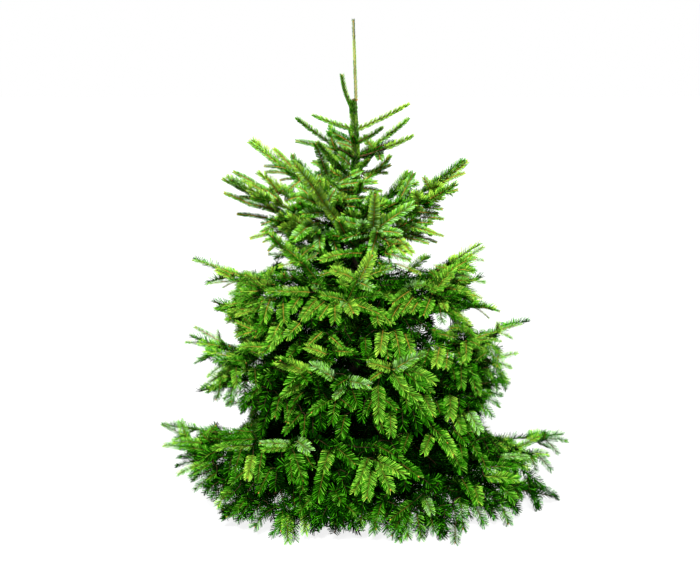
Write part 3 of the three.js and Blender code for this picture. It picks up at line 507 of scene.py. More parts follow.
SKIRT_SPRAYS = (
    (190, 438, 162, 423, 6, 1), (188, 440, 181, 421, 10, 1), (210, 441, 200, 431, 9, 1),
    (207, 435, 215, 425, 6, 1), (250, 433, 221, 433, 8, 1), (252, 431, 233, 429, 6, 1),
    (196, 447, 165, 444, 8, 1), (202, 442, 174, 441, 9, 1), (210, 450, 180, 446, 9, 1),
    (202, 454, 178, 456, 6, 2), (202, 458, 176, 465, 6, 2), (207, 461, 178, 473, 7, 1),
    (218, 450, 203, 456, 12, 1), (213, 462, 190, 475, 7, 2), (214, 467, 192, 479, 6, 2),
    (217, 471, 195, 488, 8, 1), (222, 478, 205, 491, 8, 1), (227, 481, 211, 496, 9, 1),
    (232, 486, 218, 504, 10, 1), (253, 445, 215, 447, 9, 0), (256, 438, 225, 440, 9, 1),
    (291, 446, 263, 449, 7, 0), (291, 443, 261, 442, 7, 5), (253, 454, 248, 476, 10, 0),
    (262, 452, 258, 479, 9, 1), (271, 467, 259, 491, 10, 1), (277, 469, 275, 487, 12, 2),
    (290, 450, 292, 479, 10, 2), (241, 449, 235, 471, 10, 2), (232, 454, 228, 476, 10, 3),
    (246, 469, 232, 481, 9, 2), (246, 499, 222, 520, 7, 1), (247, 497, 233, 517, 8, 1),
    (252, 499, 238, 521, 10, 1), (263, 499, 250, 519, 10, 2), (269, 506, 255, 527, 13, 1),
    (277, 505, 262, 516, 9, 2), (285, 511, 272, 536, 9, 1), (287, 513, 288, 542, 11, 1),
    (291, 519, 295, 540, 10, 1), (297, 440, 309, 449, 14, 5), (297, 440, 288, 447, 8, 1),
    (294, 451, 303, 479, 15, 1), (304, 452, 313, 466, 9, 1), (302, 477, 303, 490, 10, 1),
    (316, 437, 330, 446, 9, 2), (330, 449, 323, 469, 13, 1), (325, 467, 318, 497, 13, 1),
    (337, 469, 347, 491, 10, 2), (335, 445, 354, 462, 14, 1), (356, 446, 377, 447, 9, 2),
    (368, 457, 360, 479, 11, 1), (363, 474, 354, 491, 10, 1), (371, 469, 367, 496, 12, 1),
    (374, 443, 401, 458, 9, 1), (373, 458, 403, 473, 14, 0), (380, 464, 390, 488, 12, 1),
    (399, 461, 418, 475, 12, 2), (405, 467, 405, 487, 12, 2), (409, 432, 403, 449, 9, 1),
    (431, 434, 424, 451, 10, 1), (335, 489, 341, 501, 12, 1), (313, 494, 299, 512, 10, 1),
    (318, 494, 316, 529, 15, 1), (330, 491, 338, 513, 13, 1), (345, 504, 356, 513, 10, 1),
    (345, 504, 343, 528, 11, 1), (335, 509, 335, 525, 9, 1), (306, 504, 305, 533, 10, 1),
    (300, 489, 300, 502, 10, 2), (371, 514, 360, 525, 9, 2), (381, 504, 373, 533, 11, 1),
    (386, 509, 382, 524, 9, 2), (355, 494, 358, 503, 9, 2), (426, 490, 411, 503, 8, 2),
    (412, 502, 391, 520, 10, 0), (405, 509, 392, 536, 12, 1), (410, 511, 399, 541, 11, 1),
    (416, 509, 421, 539, 11, 1), (424, 496, 431, 511, 10, 5), (384, 499, 397, 504, 9, 2),
    (427, 499, 437, 513, 10, 1), (436, 509, 441, 538, 11, 1), (445, 504, 444, 527, 13, 1),
    (460, 496, 463, 529, 14, 1), (455, 524, 455, 543, 11, 1), (452, 504, 458, 522, 9, 2),
    (473, 501, 484, 525, 11, 1), (485, 499, 495, 518, 10, 1), (480, 489, 498, 501, 10, 1),
    (500, 499, 508, 524, 12, 1), (505, 494, 516, 509, 13, 1), (500, 483, 513, 499, 12, 1),
    (484, 466, 515, 466, 9, 1), (484, 475, 517, 478, 11, 0), (500, 484, 526, 486, 8, 2),
    (514, 487, 520, 497, 8, 1), (474, 484, 478, 500, 13, 1), (523, 470, 543, 486, 11, 1),
    (540, 486, 558, 497, 8, 1), (529, 487, 537, 508, 9, 1), (513, 461, 528, 466, 9, 1),
    (530, 454, 536, 469, 8, 1), (532, 452, 547, 453, 9, 1), (538, 454, 551, 469, 8, 1),
    (516, 447, 545, 437, 5, 2), (545, 437, 567, 440, 7, 1), (543, 439, 546, 431, 8, 1),
    (547, 440, 558, 452, 7, 1), (517, 447, 538, 436, 8, 1), (512, 447, 489, 435, 6, 2),
    (489, 435, 470, 442, 6, 3), (490, 437, 500, 451, 7, 2), (484, 440, 490, 453, 9, 2),
    (500, 456, 528, 456, 6, 5), (486, 461, 525, 462, 6, 3), (438, 430, 452, 451, 14, 1),
    (449, 447, 462, 469, 13, 1), (447, 439, 453, 453, 9, 0), (460, 443, 463, 460, 11, 1),
    (454, 429, 465, 441, 10, 1), (469, 439, 478, 453, 9, 2), (430, 424, 447, 441, 9, 2),
    (480, 452, 487, 470, 9, 2), (330, 480, 322, 468, 9, 3), (350, 470, 342, 480, 10, 3),
    (225, 440, 212, 437, 7, 2), (240, 458, 222, 470, 8, 3), (390, 440, 398, 452, 10, 3),
    (420, 475, 432, 485, 10, 3), (440, 480, 430, 492, 10, 3), (462, 478, 470, 492, 10, 2),
    (255, 480, 246, 494, 10, 3), (280, 488, 285, 505, 10, 3), (350, 512, 352, 520, 8, 2),
    (395, 487, 384, 496, 9, 3), (300, 508, 292, 520, 9, 2), (240, 485, 228, 497, 9, 2),
    (328, 503, 320, 524, 13, 1), (338, 506, 336, 527, 13, 2), (350, 504, 352, 526, 13, 2),
    (362, 508, 360, 527, 12, 2), (372, 510, 376, 529, 11, 1), (283, 508, 281, 531, 13, 1),
    (386, 513, 388, 531, 12, 2), (345, 490, 340, 508, 13, 2), (366, 488, 362, 508, 13, 2),
    (312, 500, 309, 520, 12, 2), (250, 508, 246, 520, 10, 2), (236, 378, 229, 402, 10, 2),
    (246, 380, 243, 408, 10, 3), (252, 384, 252, 404, 10, 3), (222, 385, 216, 398, 9, 2),
    (487, 341, 494, 356, 9, 2), (530, 488, 539, 506, 10, 2), (510, 494, 518, 510, 10, 2),
    (405, 518, 408, 537, 11, 2), (440, 520, 444, 537, 10, 2), (424, 518, 424, 535, 10, 2),
    (228, 506, 226, 519, 9, 3), (430, 512, 434, 532, 11, 1), (395, 514, 399, 533, 11, 2),
)

# How far the foliage reaches at each height: its depth in the tree decides how dark a spray's needles are, as
# painted shade. Front and side are the half widths of the rounded form that the outer shoots lie on.
OUTLINE_HEIGHTS = (0, 0.13, 0.25, 0.35, 0.5, 0.62, 0.8, 0.95, 1.1, 1.2, 1.3, 1.6)
OUTLINE_REACH = (0.64, 0.66, 0.5, 0.48, 0.46, 0.42, 0.40, 0.34, 0.3, 0.18, 0.14, 0.05)
FRONT_REACH = (0.545, 0.54, 0.47, 0.45, 0.44, 0.41, 0.36, 0.30, 0.25, 0.20, 0.20, 0.20)
SIDE_REACH = (0.70, 0.76, 0.62, 0.56, 0.58, 0.54, 0.50, 0.42, 0.38, 0.30, 0.30, 0.30)
SETTLING_STEPS = 30
SETTLING_FROM = -0.3
SETTLING_PACE = 0.5

# Needles: a folded kite each, and how their directions stand round a shoot, in degrees
FOOT_SHARE = 0.75
TIP_SHARE = 0.6
PART_ON_TOP = 28
CROWN_PART = 44
LOWEST_SIDE = 116
NEEDLE_ANGLE = 60
NEEDLE_ANGLE_AT_TIP = 28
STEM_NEEDLE_ANGLE = 44
NEEDLE_ANGLE_SPREAD = 8
GOLDEN_SHARE = 0.618034
BRUSH_SIDE = 165
BRUSH_CLOSES_PART = 0.5
BRUSHY = 0.25
NEEDLE_CURL = 0.14
LEAST_CURL = 0.3
# The needles stand in an upper layer painted lighter and a lower layer painted darker, as light and shade:
# their shares of the way from top to side
UPPER_LAYER = (0.0, 0.7)
UNDER_LAYER = (0.55, 1.0)
UNDER_BREADTH = 1.15
# How uneven they are: their places along and round the shoot, their lengths, and how they roll
PLACE_SPREAD = 0.8
ROUND_SPREAD = 0.08
SHORTEST_SHARE = 0.9
LENGTH_SPREAD = 0.18
ROLL_SPREAD = 1.9
BRUSHY_ROLL_SPREAD = 3.2
# They get shorter from this share of the shoot on, and start this share of the way out from its middle
SHORTER_FROM = 0.8
SHORTER_BY = 0.9
START_OUT = 0.7
# Needle counts and lengths of some kinds of shoot, next to those of an outer spray
CROWDING = {"inner": 0.7, "clad": 1.6, "leader": 1.5, "rival": 2.2}
NEEDLE_SHARE = {"inner": 1.1, "leader": 0.45, "rival": 0.85, "clad": 1.35}
FEWEST_NEEDLES = 6
OLD_CROWDING = 0.7
OLD_BELOW = 0.8
HIDDEN_CROWDING = 0.75
# Breadths next to the needles' own width, which is that of needles as long as these
USUAL_NEEDLE = 0.0245
INNER_BREADTH = 1.8
HIDDEN_BREADTH = 1.35
HIGH_BREADTH = 1.4
OUTER_BREADTH = 0.95
EDGE_FROM = 0.8
EDGE_BREADTH_UPPER = 1.75
EDGE_BREADTH_LOW = 1.45
PLAIN_BREADTH = 1.15
# How colours differ inside a spray. The first two are told below and above the height from which the tree
# counts as high: the share of the lower layer's needles that are a step darker, as painted shade, and the
# luck from which one in the upper layer is a step lighter, as painted light.
PAINTED_SHADE_UNDER = (0.8, 0.5)
PAINTED_LIGHT_FROM = (0.7, 0.6)
DARKER_UPPER = 0.12
BRIGHT_FROM = 0.75
# From this luck on, an upper needle of a light crown spray is silver, a painted highlight
CROWN_PAINTED_HIGHLIGHT_FROM = 0.72
PIECE_LIMIT = 200_000

# Buds: how a side bud's place, lean and size compare with the middle one's
SIDE_BUDS_FROM = 0.9
SIDE_BUD_BACK = 0.3
SIDE_BUD_LEAN = 0.9
SIDE_BUD_SIZE = 0.6
BUDS_FROM = 0.8
BUD_SPREAD = 0.4
BUD_AT_TOP = 0.75
BUD_SIDES = 4
BUD_RINGS = ((0.0, 0.2), (0.4, 0.3))
# Rings of buds on the leader's top, round its foot, on the shoot beside it and, old ones, left of its foot:
# how many, the turn from one to the next, the turn of the first, how far each leans out and stands aside, and
# its length
TOP_BUDS = (5, 72, 20, 0.55, 0, 0.0065)
TOP_BUDS_DOWN = 0.008
TOP_BUDS_SUNK = 0.003
FOOT_BUDS = (7, 51, 0, 0.8, 0.002, 0.0072)
FOOT_BUDS_RISE = 0.7
RIVAL_BUDS = (3, 120, 0, 0.4, 0, 0.005)
RIVAL_BUDS_PLACE = 0.98
OLD_BUDS = (5, 72, 0, 0.7, 0.002, 0.011)
OLD_BUDS_HEIGHT = 1.329
OLD_BUDS_ASIDE = Vector((-0.008, -0.006, 0))

# Sockets of nodes that are told by number
OBJECT_PLACE = 3
ATTRIBUTE_NUMBER = 2
PLACE_Z = 2
WAVE_NUMBER = 1
MIX_FACTOR_AND_COLOURS = (0, 6, 7)
MIX_RESULT = 2

TWIG_SIDES = 4
TWIG_SHEEN = 0.08
# How much darker the shaded and the old twigs' bark is, as painted shade to go with their dark needles
SHADED_TWIG = 0.26
OLD_TWIG_PAINTED_SHADE = 0.3
ALONG_NEEDLE = "along_needle"
# The tips' pale colour next to the needle green: a painted highlight
PAINTED_HIGHLIGHT_TIP = (1.75, 1.46, 2.8)

# The picture's own place, tilt, centre and focal length, in metres, degrees and pixels, and the lens in
# millimetres
PICTURE_FROM = Vector((-0.016, -3.6, 1.5))
PICTURE_TILT = 12.5
PICTURE_CENTRE = (350, 285)
PICTURE_FOCAL = 1068
LENS = 54.93
SENSOR = 36
KEY_DISTANCE = 5
FLOOR_SIZE = 60
FLOOR_SHADE = 0.1

# The tree's edges in the picture: how far down, and the left and the right edge
EDGES = (
    (178, 224, 462), (195, 232, 457), (215, 240, 443), (235, 252, 437), (255, 280, 412), (262, 200, 475),
    (270, 215, 484), (285, 210, 484), (305, 216, 497), (318, 228, 498), (325, 196, 522), (342, 186, 500),
    (355, 195, 514), (385, 202, 508), (400, 226, 500), (412, 240, 490), (420, 252, 484), (428, 165, 560),
    (445, 165, 567), (460, 178, 550), (475, 182, 550), (497, 213, 557), (507, 218, 528), (515, 222, 515),
    (522, 250, 500), (530, 262, 462), (540, 280, 456),
)
EDGE_MARGIN = 6

# Where the sky shows through in the picture: the middle of each opening, and half its width and height
OPENINGS = (
    (258, 163, 13, 5), (297, 187, 8, 6), (391, 181, 15, 13), (262, 240, 26, 14), (253, 262, 24, 12),
    (426, 257, 24, 15), (199, 275, 14, 9), (442, 323, 12, 9), (422, 331, 7, 6), (470, 314, 12, 6),
    (511, 345, 10, 8), (235, 345, 9, 7), (226, 303, 10, 5), (246, 390, 12, 9), (505, 433, 16, 7),
    (198, 424, 20, 6), (216, 338, 8, 5), (392, 270, 8, 6), (228, 425, 14, 6), (220, 402, 16, 12),
    (500, 412, 20, 12), (340, 534, 9, 4), (531, 503, 10, 6), (428, 537, 6, 5), (246, 524, 8, 4),
    (508, 525, 6, 4), (232, 520, 6, 6), (370, 533, 6, 4), (285, 262, 12, 5), (245, 420, 8, 5),
    (298, 186, 9, 5), (399, 182, 5, 8), (458, 255, 7, 4), (420, 260, 8, 5), (510, 436, 13, 3),
    (487, 425, 7, 6), (232, 329, 8, 5), (475, 326, 8, 5), (242, 209, 7, 3), (473, 287, 6, 5),
    (408, 330, 4, 5),
)

UP = Vector((0, 0, 1))

# Curves: in how many steps one is measured, and how far apart along it two points give its direction
PATH_STEPS = 32
PATH_NUDGE = 0.01

# For numbers that look drawn by chance and are always the same
HASH_PRIMES = (7919, 104729, 1299721)
HASH_MIXERS = ((15, 2246822519), (13, 3266489917))
HASH_LAST_SHIFT = 16
WORD = 0xFFFFFFFF

# The needle colours, and the share of each from deep in the tree to its outline: a row holds up to its depth.
# The shares are painted shade and light: darker deep inside and low down, lighter at the outline and in the
# crown.
NEW, BRIGHT, MIDDLE, DEEP, SHADE, SILVER = range(6)
DARK = (DEEP, SHADE)
NEEDLE_WAX = {"new": 0.04, "bright": 0.03, "middle": 0.01, "deep": 0.0, "shade": 0.0, "silver": 0.12}
SHADES = (
    (0.35, (0.00, 0.00, 0.00, 0.12, 0.88, 0.00)),
    (0.60, (0.00, 0.00, 0.10, 0.50, 0.39, 0.01)),
    (0.80, (0.01, 0.15, 0.46, 0.34, 0.02, 0.02)),
    (1.05, (0.08, 0.40, 0.40, 0.08, 0.00, 0.04)),
    (9.00, (0.10, 0.46, 0.38, 0.02, 0.00, 0.04)),
)
SHADES_LOW = (
    (0.60, (0.00, 0.00, 0.00, 0.40, 0.60, 0.00)),
    (0.85, (0.00, 0.04, 0.42, 0.46, 0.08, 0.00)),
    (9.00, (0.02, 0.20, 0.56, 0.20, 0.00, 0.02)),
)
LOW_TO = 0.28
SHADES_HIGH = (
    (0.30, (0.06, 0.30, 0.44, 0.16, 0.00, 0.04)),
    (0.70, (0.20, 0.44, 0.24, 0.02, 0.00, 0.10)),
    (9.00, (0.34, 0.40, 0.10, 0.00, 0.00, 0.16)),
)
HIGH_FROM = 0.86
# Behind and in front of the trunk's own plane, where the shares are darker, as painted shade
OFF_PLANE = 0.06
SHADES_OFF_LOW = (
    (0.85, (0, 0, 0.10, 0.42, 0.48, 0)),
    (9.00, (0, 0.12, 0.48, 0.32, 0.08, 0)),
)
SHADES_OFF_UPPER = (
    (0.80, (0, 0.04, 0.26, 0.46, 0.24, 0)),
    (9.00, (0.06, 0.40, 0.40, 0.14, 0, 0)),
)
# The inner shoots' shares, nearly all dark as painted shade, and those of the stem's shoots
INNER_SHARES = (0, 0, 0.08, 0.42, 0.50, 0)
STEM_SHARES = (0.2, 0.5, 0.3, 0, 0, 0)
LINK_SHADE_LOW = 0.75
LINK_SHADE_UPPER = 0.4

# The kinds of shoot whose needles stand steeply all round them
UPRIGHT = ("clad", "leader", "rival")
OLD_TWIG_YEARS = 3

# Where the joined pieces of needles are divided, in height and, for the apron, from front to back
INNER_SPLITS = (0.24, 0.45, 0.7)
PAIRED_SPLIT = 0.3
APRON_SPLIT = -0.1


def mix(a, b, share):
    return a + (b - a) * share


def clamp(value, low, high):
    return max(low, min(high, value))


def chance(a, b, c):
    """A number from 0 to 1 that is always the same for the same three whole numbers."""
    h = (SEED + sum(n * prime for n, prime in zip((a, b, c), HASH_PRIMES))) & WORD
    for shift, mixer in HASH_MIXERS:
        h = ((h ^ (h >> shift)) * mixer) & WORD
    return (h ^ (h >> HASH_LAST_SHIFT)) / (WORD + 1)


def varied(middle, spread, a, b, c):
    """A value round the middle of a range as wide as spread. The last numbers tell one use from another."""
    return middle + spread * (chance(a, b, c) - 0.5)


def outward(azimuth):
    return Vector((math.cos(math.radians(azimuth)), math.sin(math.radians(azimuth)), 0))


def trunk_axis(z):
    """The trunk leans a little to the right, and its leader back to the left."""
    share = clamp(z / LEADER_FOOT, 0, 1)
    leader = clamp((z - LEADER_FOOT) / (TREE_TOP - LEADER_FOOT), 0, 1)
    return Vector((LEAN_RIGHT * share * share - LEADER_LEAN_LEFT * leader, 0, z))


def trunk_radius(z):
    flare = ROOT_FLARE * math.exp((TRUNK_FOOT - z) / FLARE_HEIGHT)
    if z < TOP_WHORL_HEIGHT:
        return mix(TRUNK_RADIUS, TOP_WHORL_RADIUS, z / TOP_WHORL_HEIGHT) + flare
    if z < LEADER_FOOT:
        share = (z - TOP_WHORL_HEIGHT) / (LEADER_FOOT - TOP_WHORL_HEIGHT)
        return mix(TOP_WHORL_RADIUS, LEADER_FOOT_RADIUS, share)
    share = (z - LEADER_FOOT) / (TREE_TOP - LEADER_FOOT)
    from_bud = (z - TREE_TOP + LEADER_BUD_LENGTH) / LEADER_BUD_LENGTH
    swell = LEADER_BUD_SWELL * math.exp(-LEADER_BUD_FALL * from_bud**2)
    return mix(LEADER_FOOT_RADIUS, LEADER_TIP_RADIUS, share) + swell


class Path:
    """A curve through space, read by the share of its length."""

    def __init__(self, start, middle, end, steps=PATH_STEPS):
        self.points = []
        for i in range(steps + 1):
            t = i / steps
            self.points.append(start * (1 - t) ** 2 + middle * (2 * t * (1 - t)) + end * t**2)
        self.marks = [0.0]
        for a, b in zip(self.points, self.points[1:]):
            self.marks.append(self.marks[-1] + (b - a).length)
        self.length = self.marks[-1]

    def at(self, u):
        want = clamp(u, 0, 1) * self.length
        i = int(np.searchsorted(self.marks, want, side="right")) - 1
        i = clamp(i, 0, len(self.points) - 2)
        step = self.marks[i + 1] - self.marks[i]
        return self.points[i].lerp(self.points[i + 1], (want - self.marks[i]) / step)

    def along(self, u):
        return (self.at(min(u + PATH_NUDGE, 1)) - self.at(max(u - PATH_NUDGE, 0))).normalized()

    def piece(self, u, v):
        """The root, the middle and the tip of a shoot that lies between two shares of the length."""
        return self.at(u), self.at((u + v) / 2), self.at(v)


def bough_path(azimuth, height, reach, tip, sag):
    start = trunk_axis(height)
    end = outward(azimuth) * reach + UP * tip
    return Path(start, (start + end) / 2 - UP * sag, end)


def rival_path():
    """The shoot beside the leader leaves the stem sideways, then rises beside it."""
    start = trunk_axis(RIVAL["height"])
    out = outward(RIVAL["azimuth"])
    end = out * RIVAL["reach"] + UP * RIVAL["tip"]
    return Path(start, (start + end) / 2 + out * RIVAL["bow"], end)


class Space:
    """The space of one mass: between its neighbours, between two cones and above the floor."""

    def __init__(self, centre, before, after, floor, ceiling):
        self.centre = centre
        self.inwards = (outward(before + 90), outward(after - 90))
        self.floor = floor
        self.ceiling = ceiling

    def holds(self, point):
        local = point - self.centre
        local.z = 0
        r = local.length
        between = all(local.dot(inward) > -SPACE_SLACK for inward in self.inwards)
        above = point.z > max(self.floor[0] + self.floor[1] * r - SPACE_SLACK, FLOOR_CLEARANCE)
        return between and above and point.z < self.ceiling[0] + self.ceiling[1] * r + CEILING_SLACK


class Shoot:
    """One year's growth: a curved twig, with the upper side of its needles facing up."""

    def __init__(self, root, middle, tip, up, thick, thin, age, order, whorl, part, key, shade=None):
        self.root = root
        self.bend = middle * 2 - (root + tip) / 2
        self.tip = tip
        self.up = up
        self.thick = thick
        self.thin = thin
        self.age = age
        self.order = order
        self.whorl = whorl
        self.part = part
        self.key = key
        self.shade = shade

    @property
    def length(self):
        return (self.tip - self.root).length


def seen_at(point):
    """Where the point is in the picture, in pixels across and down."""
    away = point - PICTURE_FROM
    tilt = math.radians(PICTURE_TILT)
    ahead = away.y * math.cos(tilt) - away.z * math.sin(tilt)
    up = away.y * math.sin(tilt) + away.z * math.cos(tilt)
    scale = PICTURE_FOCAL / ahead
    return PICTURE_CENTRE[0] + scale * away.x, PICTURE_CENTRE[1] - scale * up


def place_at(across, down, y):
    """The point at that place in the picture and that far back."""
    tilt = math.radians(PICTURE_TILT)
    rise = (PICTURE_CENTRE[1] - down) / PICTURE_FOCAL
    away = y - PICTURE_FROM.y
    fall = away * (rise * math.cos(tilt) - math.sin(tilt)) / (math.cos(tilt) + rise * math.sin(tilt))
    ahead = away * math.cos(tilt) - fall * math.sin(tilt)
    return Vector((PICTURE_FROM.x + (across - PICTURE_CENTRE[0]) * ahead / PICTURE_FOCAL, y,
                   PICTURE_FROM.z + fall))


def in_outline(point):
    """Whether the point is seen well inside the tree's edges and clear of the openings."""
    across, down = seen_at(point)
    downs, left, right = zip(*EDGES)
    inside = (np.interp(down, downs, left) + EDGE_MARGIN < across
              < np.interp(down, downs, right) - EDGE_MARGIN)
    return inside and not in_opening(point)


def in_opening(point):
    """Whether the point stands in front of or behind one of the openings."""
    across, down = seen_at(point)
    return any(((across - x) / wide) ** 2 + ((down - y) / high) ** 2 < 1 for x, y, wide, high in OPENINGS)



def settled(across, down, inset):
    """How far back an outer shoot's end lies: on the tree's rounded front, or nearer, above the floor."""
    y = SETTLING_FROM
    for _ in range(SETTLING_STEPS):
        point = place_at(across, down, y)
        front = float(np.interp(point.z, OUTLINE_HEIGHTS, FRONT_REACH))
        side = float(np.interp(point.z, OUTLINE_HEIGHTS, SIDE_REACH))
        wanted = -(front - inset) * math.sqrt(max(1 - (point.x / side) ** 2, 0))
        y = mix(y, wanted, SETTLING_PACE)
    low, near = place_at(across, down, y), place_at(across, down, NEAREST)
    if low.z < LOWEST_END:
        y = max(mix(y, NEAREST, (LOWEST_END - low.z) / (near.z - low.z)), -FRONT_LIMIT)
    return y


def picked(row, crown):
    """An outer shoot's foot and tip, its needles' length and its colour, from its row in the picture."""
    if crown:
        foot_x, foot_y, foot_depth, tip_x, tip_y, tip_depth, width, shade = row
        width *= CROWN_BROADER
    else:
        foot_x, foot_y, tip_x, tip_y, width, shade = row
        tip_y -= LOW_TIP_LIFT * (tip_y > LOW_TIPS)
        tip_depth = settled(tip_x, tip_y, 0)
        foot_depth = clamp(settled(foot_x, foot_y, FOOT_INSET), tip_depth - DEEPEST_SLANT,
                           tip_depth + DEEPEST_SLANT)
    foot, tip = place_at(foot_x, foot_y, foot_depth), place_at(tip_x, tip_y, tip_depth)
    foot.z, tip.z = max(foot.z, LOWEST_END), max(tip.z, LOWEST_END)
    if (tip - foot).length < SHORTEST_SHOOT:
        foot = place_at(foot_x, foot_y, foot_depth + SHORTEST_SHOOT)
    return foot, tip, min(width * NEEDLE_OF_WIDTH, LONGEST_NEEDLE), shade


def above_floor(point):
    return Vector((point.x, point.y, max(point.z, TWIG_FLOOR)))


def facing(along, roll):
    """The direction that a spray's upper side faces, turned about its line by roll from lying flat."""
    across = UP.cross(along).normalized()
    across.rotate(Quaternion(along, roll))
    return along.cross(across).normalized()


def fine_path(root, along, length, up, bow):
    end = above_floor(root + along * length)
    middle = above_floor((root + end) / 2 + up * (bow * length))
    return Path(root, middle, end, FINE_STEPS)


def by_year(years):
    """Each year's number and the two shares of the length between which its shoot lies."""
    return [(year, year / years, (year + 1) / years) for year in range(years)]


def grow_axis(tree, path, up, years, order, key, whorl, part, thick):
    """Adds a side twig's yearly shoots and, at each year's end, the pair of twigs that it sends out."""
    foot = min(thick, SHOOT_RADIUS + YEARLY_THICKENING * years)
    for year, u, v in by_year(years):
        own = key * 7 + year + 1
        if in_opening(path.at((u + v) / 2)) or in_opening(path.at(v)):
            return
        now = mix(foot, SHOOT_RADIUS, u)
        end = mix(foot, SHOOT_RADIUS, v)
        tree.append(Shoot(*path.piece(u, v), up, now, end, years - year, order, whorl, part, own))
        if year > 0 and order < FINE_ORDERS:
            for side in (-1, 1):
                long = path.length * (1 - u) * varied(FINE_SHARE, FINE_SHARE_SPREAD, own, side + 2, 1)
                long = max(long, FINE_SHORTEST)
                grown = years_for(long, years - year, whorl)
                grow_fine(tree, path, u, side, up, long, grown, order + 1, own, whorl, part, now * FINE_THICK,
                          FINE_ANGLE)
        if order == 1:
            grow_between(tree, path, (u + v) / 2, years, up, 2, own, whorl, part, now, BETWEEN_ON_TWIGS)


def grow_between(tree, path, middle, years, up, order, own, whorl, part, thick, manner):
    """The short twigs that may stand between two years' pairs."""
    size, key, share = manner
    for side in (-1, 1):
        if chance(own, side + 5, 4) < whorl["between"]:
            place = middle + side * BETWEEN_STAGGER / years
            long = BETWEEN_LENGTH * varied(size, BETWEEN_SPREAD, own, side + 5, 1)
            grow_fine(tree, path, place, side, up, long, 1, order, own + key, whorl, part, thick * share,
                      BETWEEN_ANGLE)


def grow_fine(tree, path, u, side, up, long, years, order, own, whorl, part, thick, spread_angle):
    """One of a pair of fine side twigs, in the plane of its parent's spray."""
    which = side + 2
    along = path.along(u)
    across = up.cross(along).normalized()
    angle = math.radians(varied(spread_angle, FINE_ANGLE_SPREAD, own, which, 0))
    out = along * math.cos(angle) + across * (side * math.sin(angle))
    out += up * varied(0, FINE_LIFT_SPREAD, own, which, 5)
    out.z -= FINE_DROOP * whorl["droop"] * varied(FINE_DROOP_MIDDLE, FINE_DROOP_SPREAD, own, which, 2)
    out.normalize()
    tilt = up + Vector([varied(0, FINE_TILT_SPREAD, own, which, axis) for axis in (6, 7, 8)])
    new_up = (tilt - out * tilt.dot(out)).normalized()
    fine = fine_path(path.at(u + side * FINE_STAGGER), out, long, new_up, whorl["bow"])
    grow_axis(tree, fine, new_up, years, order, own * 3 + which, whorl, part, thick)


def years_for(long, most, whorl):
    """How many yearly shoots make up a twig of that length."""
    return int(clamp(round(long / whorl["yearly"]), 1, max(most, 1)))


def fits(space, root, along, across, long, breadth):
    """Whether a spray of that size keeps to the mass's own space."""
    if space is None:
        return True
    corners = (root + along * (long * x) + across * (long * breadth * y) for x, y in SPRAY_CORNERS)
    return all(space.holds(corner) for corner in corners)


def side_sprays(tree, whorl, path, u, own, space, years, part, thick):
    """The pair of side twigs that one year's growth of a bough sends out."""
    along = path.along(u)
    across = UP.cross(along).normalized()
    for side in (-1, 1):
        which = side + 2
        angle = math.radians(varied(whorl["angle"], SIDE_ANGLE_SPREAD, own, which, 0))
        root = path.at(u + side * SIDE_STAGGER / path.length)
        share = SIDE_SHARE * varied(1, SIDE_SHARE_SPREAD, own, which, 1)
        long = max(path.length * (1 - u) * share, SHORTEST_SIDE) * whorl["side"]
        out = along * math.cos(angle) + across * (side * math.sin(angle))
        droop = whorl["droop"] * mix(*SIDE_DROOP_ALONG, u)
        out.z = out.z * SIDE_RISE_KEPT - droop * varied(1, SIDE_DROOP_SPREAD, own, which, 2)
        out.z = max(out.z, (FLOOR_CLEARANCE + FLOOR_RISE * long - root.z) / long)
        out.normalize()
        up = facing(out, side * math.radians(varied(SPRAY_ROLL, SPRAY_ROLL_SPREAD, own, which, 3)))
        flat = up.cross(out)
        breadth = whorl["breadth"]
        sizes = [size for size in SPRAY_TRIES if fits(space, root, out, flat, long * size, breadth)]
        long *= sizes[0] if sizes else SMALLEST_TRY
        twig = fine_path(root, out, long, up, whorl["bow"])
        grow_axis(tree, twig, up, years_for(long, years, whorl), 1, own * 3 + which, whorl, part,
                  thick * SIDE_THICK)


def hanging_spray(tree, whorl, path, u, own, part):
    """The short twig that hangs below one year's growth of a bough."""
    root = path.at(u + HANGING_PLACE / whorl["years"])
    along = path.along(u)
    across = UP.cross(along).normalized()
    down = along * HANGING_FORWARD + across * varied(0, HANGING_ACROSS_SPREAD, own, 7, 0)
    down.z = -whorl["hang"]
    down.normalize()
    up = facing(down, math.radians(varied(90, HANGING_TURN_SPREAD, own, 7, 1)))
    long = HANGING_LENGTH * mix(*HANGING_ALONG, u)
    if root.z + down.z * long < TWIG_FLOOR:
        down.z = 0
        down.normalize()
        up = facing(down, 0)
    twig = fine_path(root, down, long, up, HANGING_BOW)
    grow_axis(tree, twig, up, 2, 1, own * 3 + 9, whorl, part, HANGING_THICK)


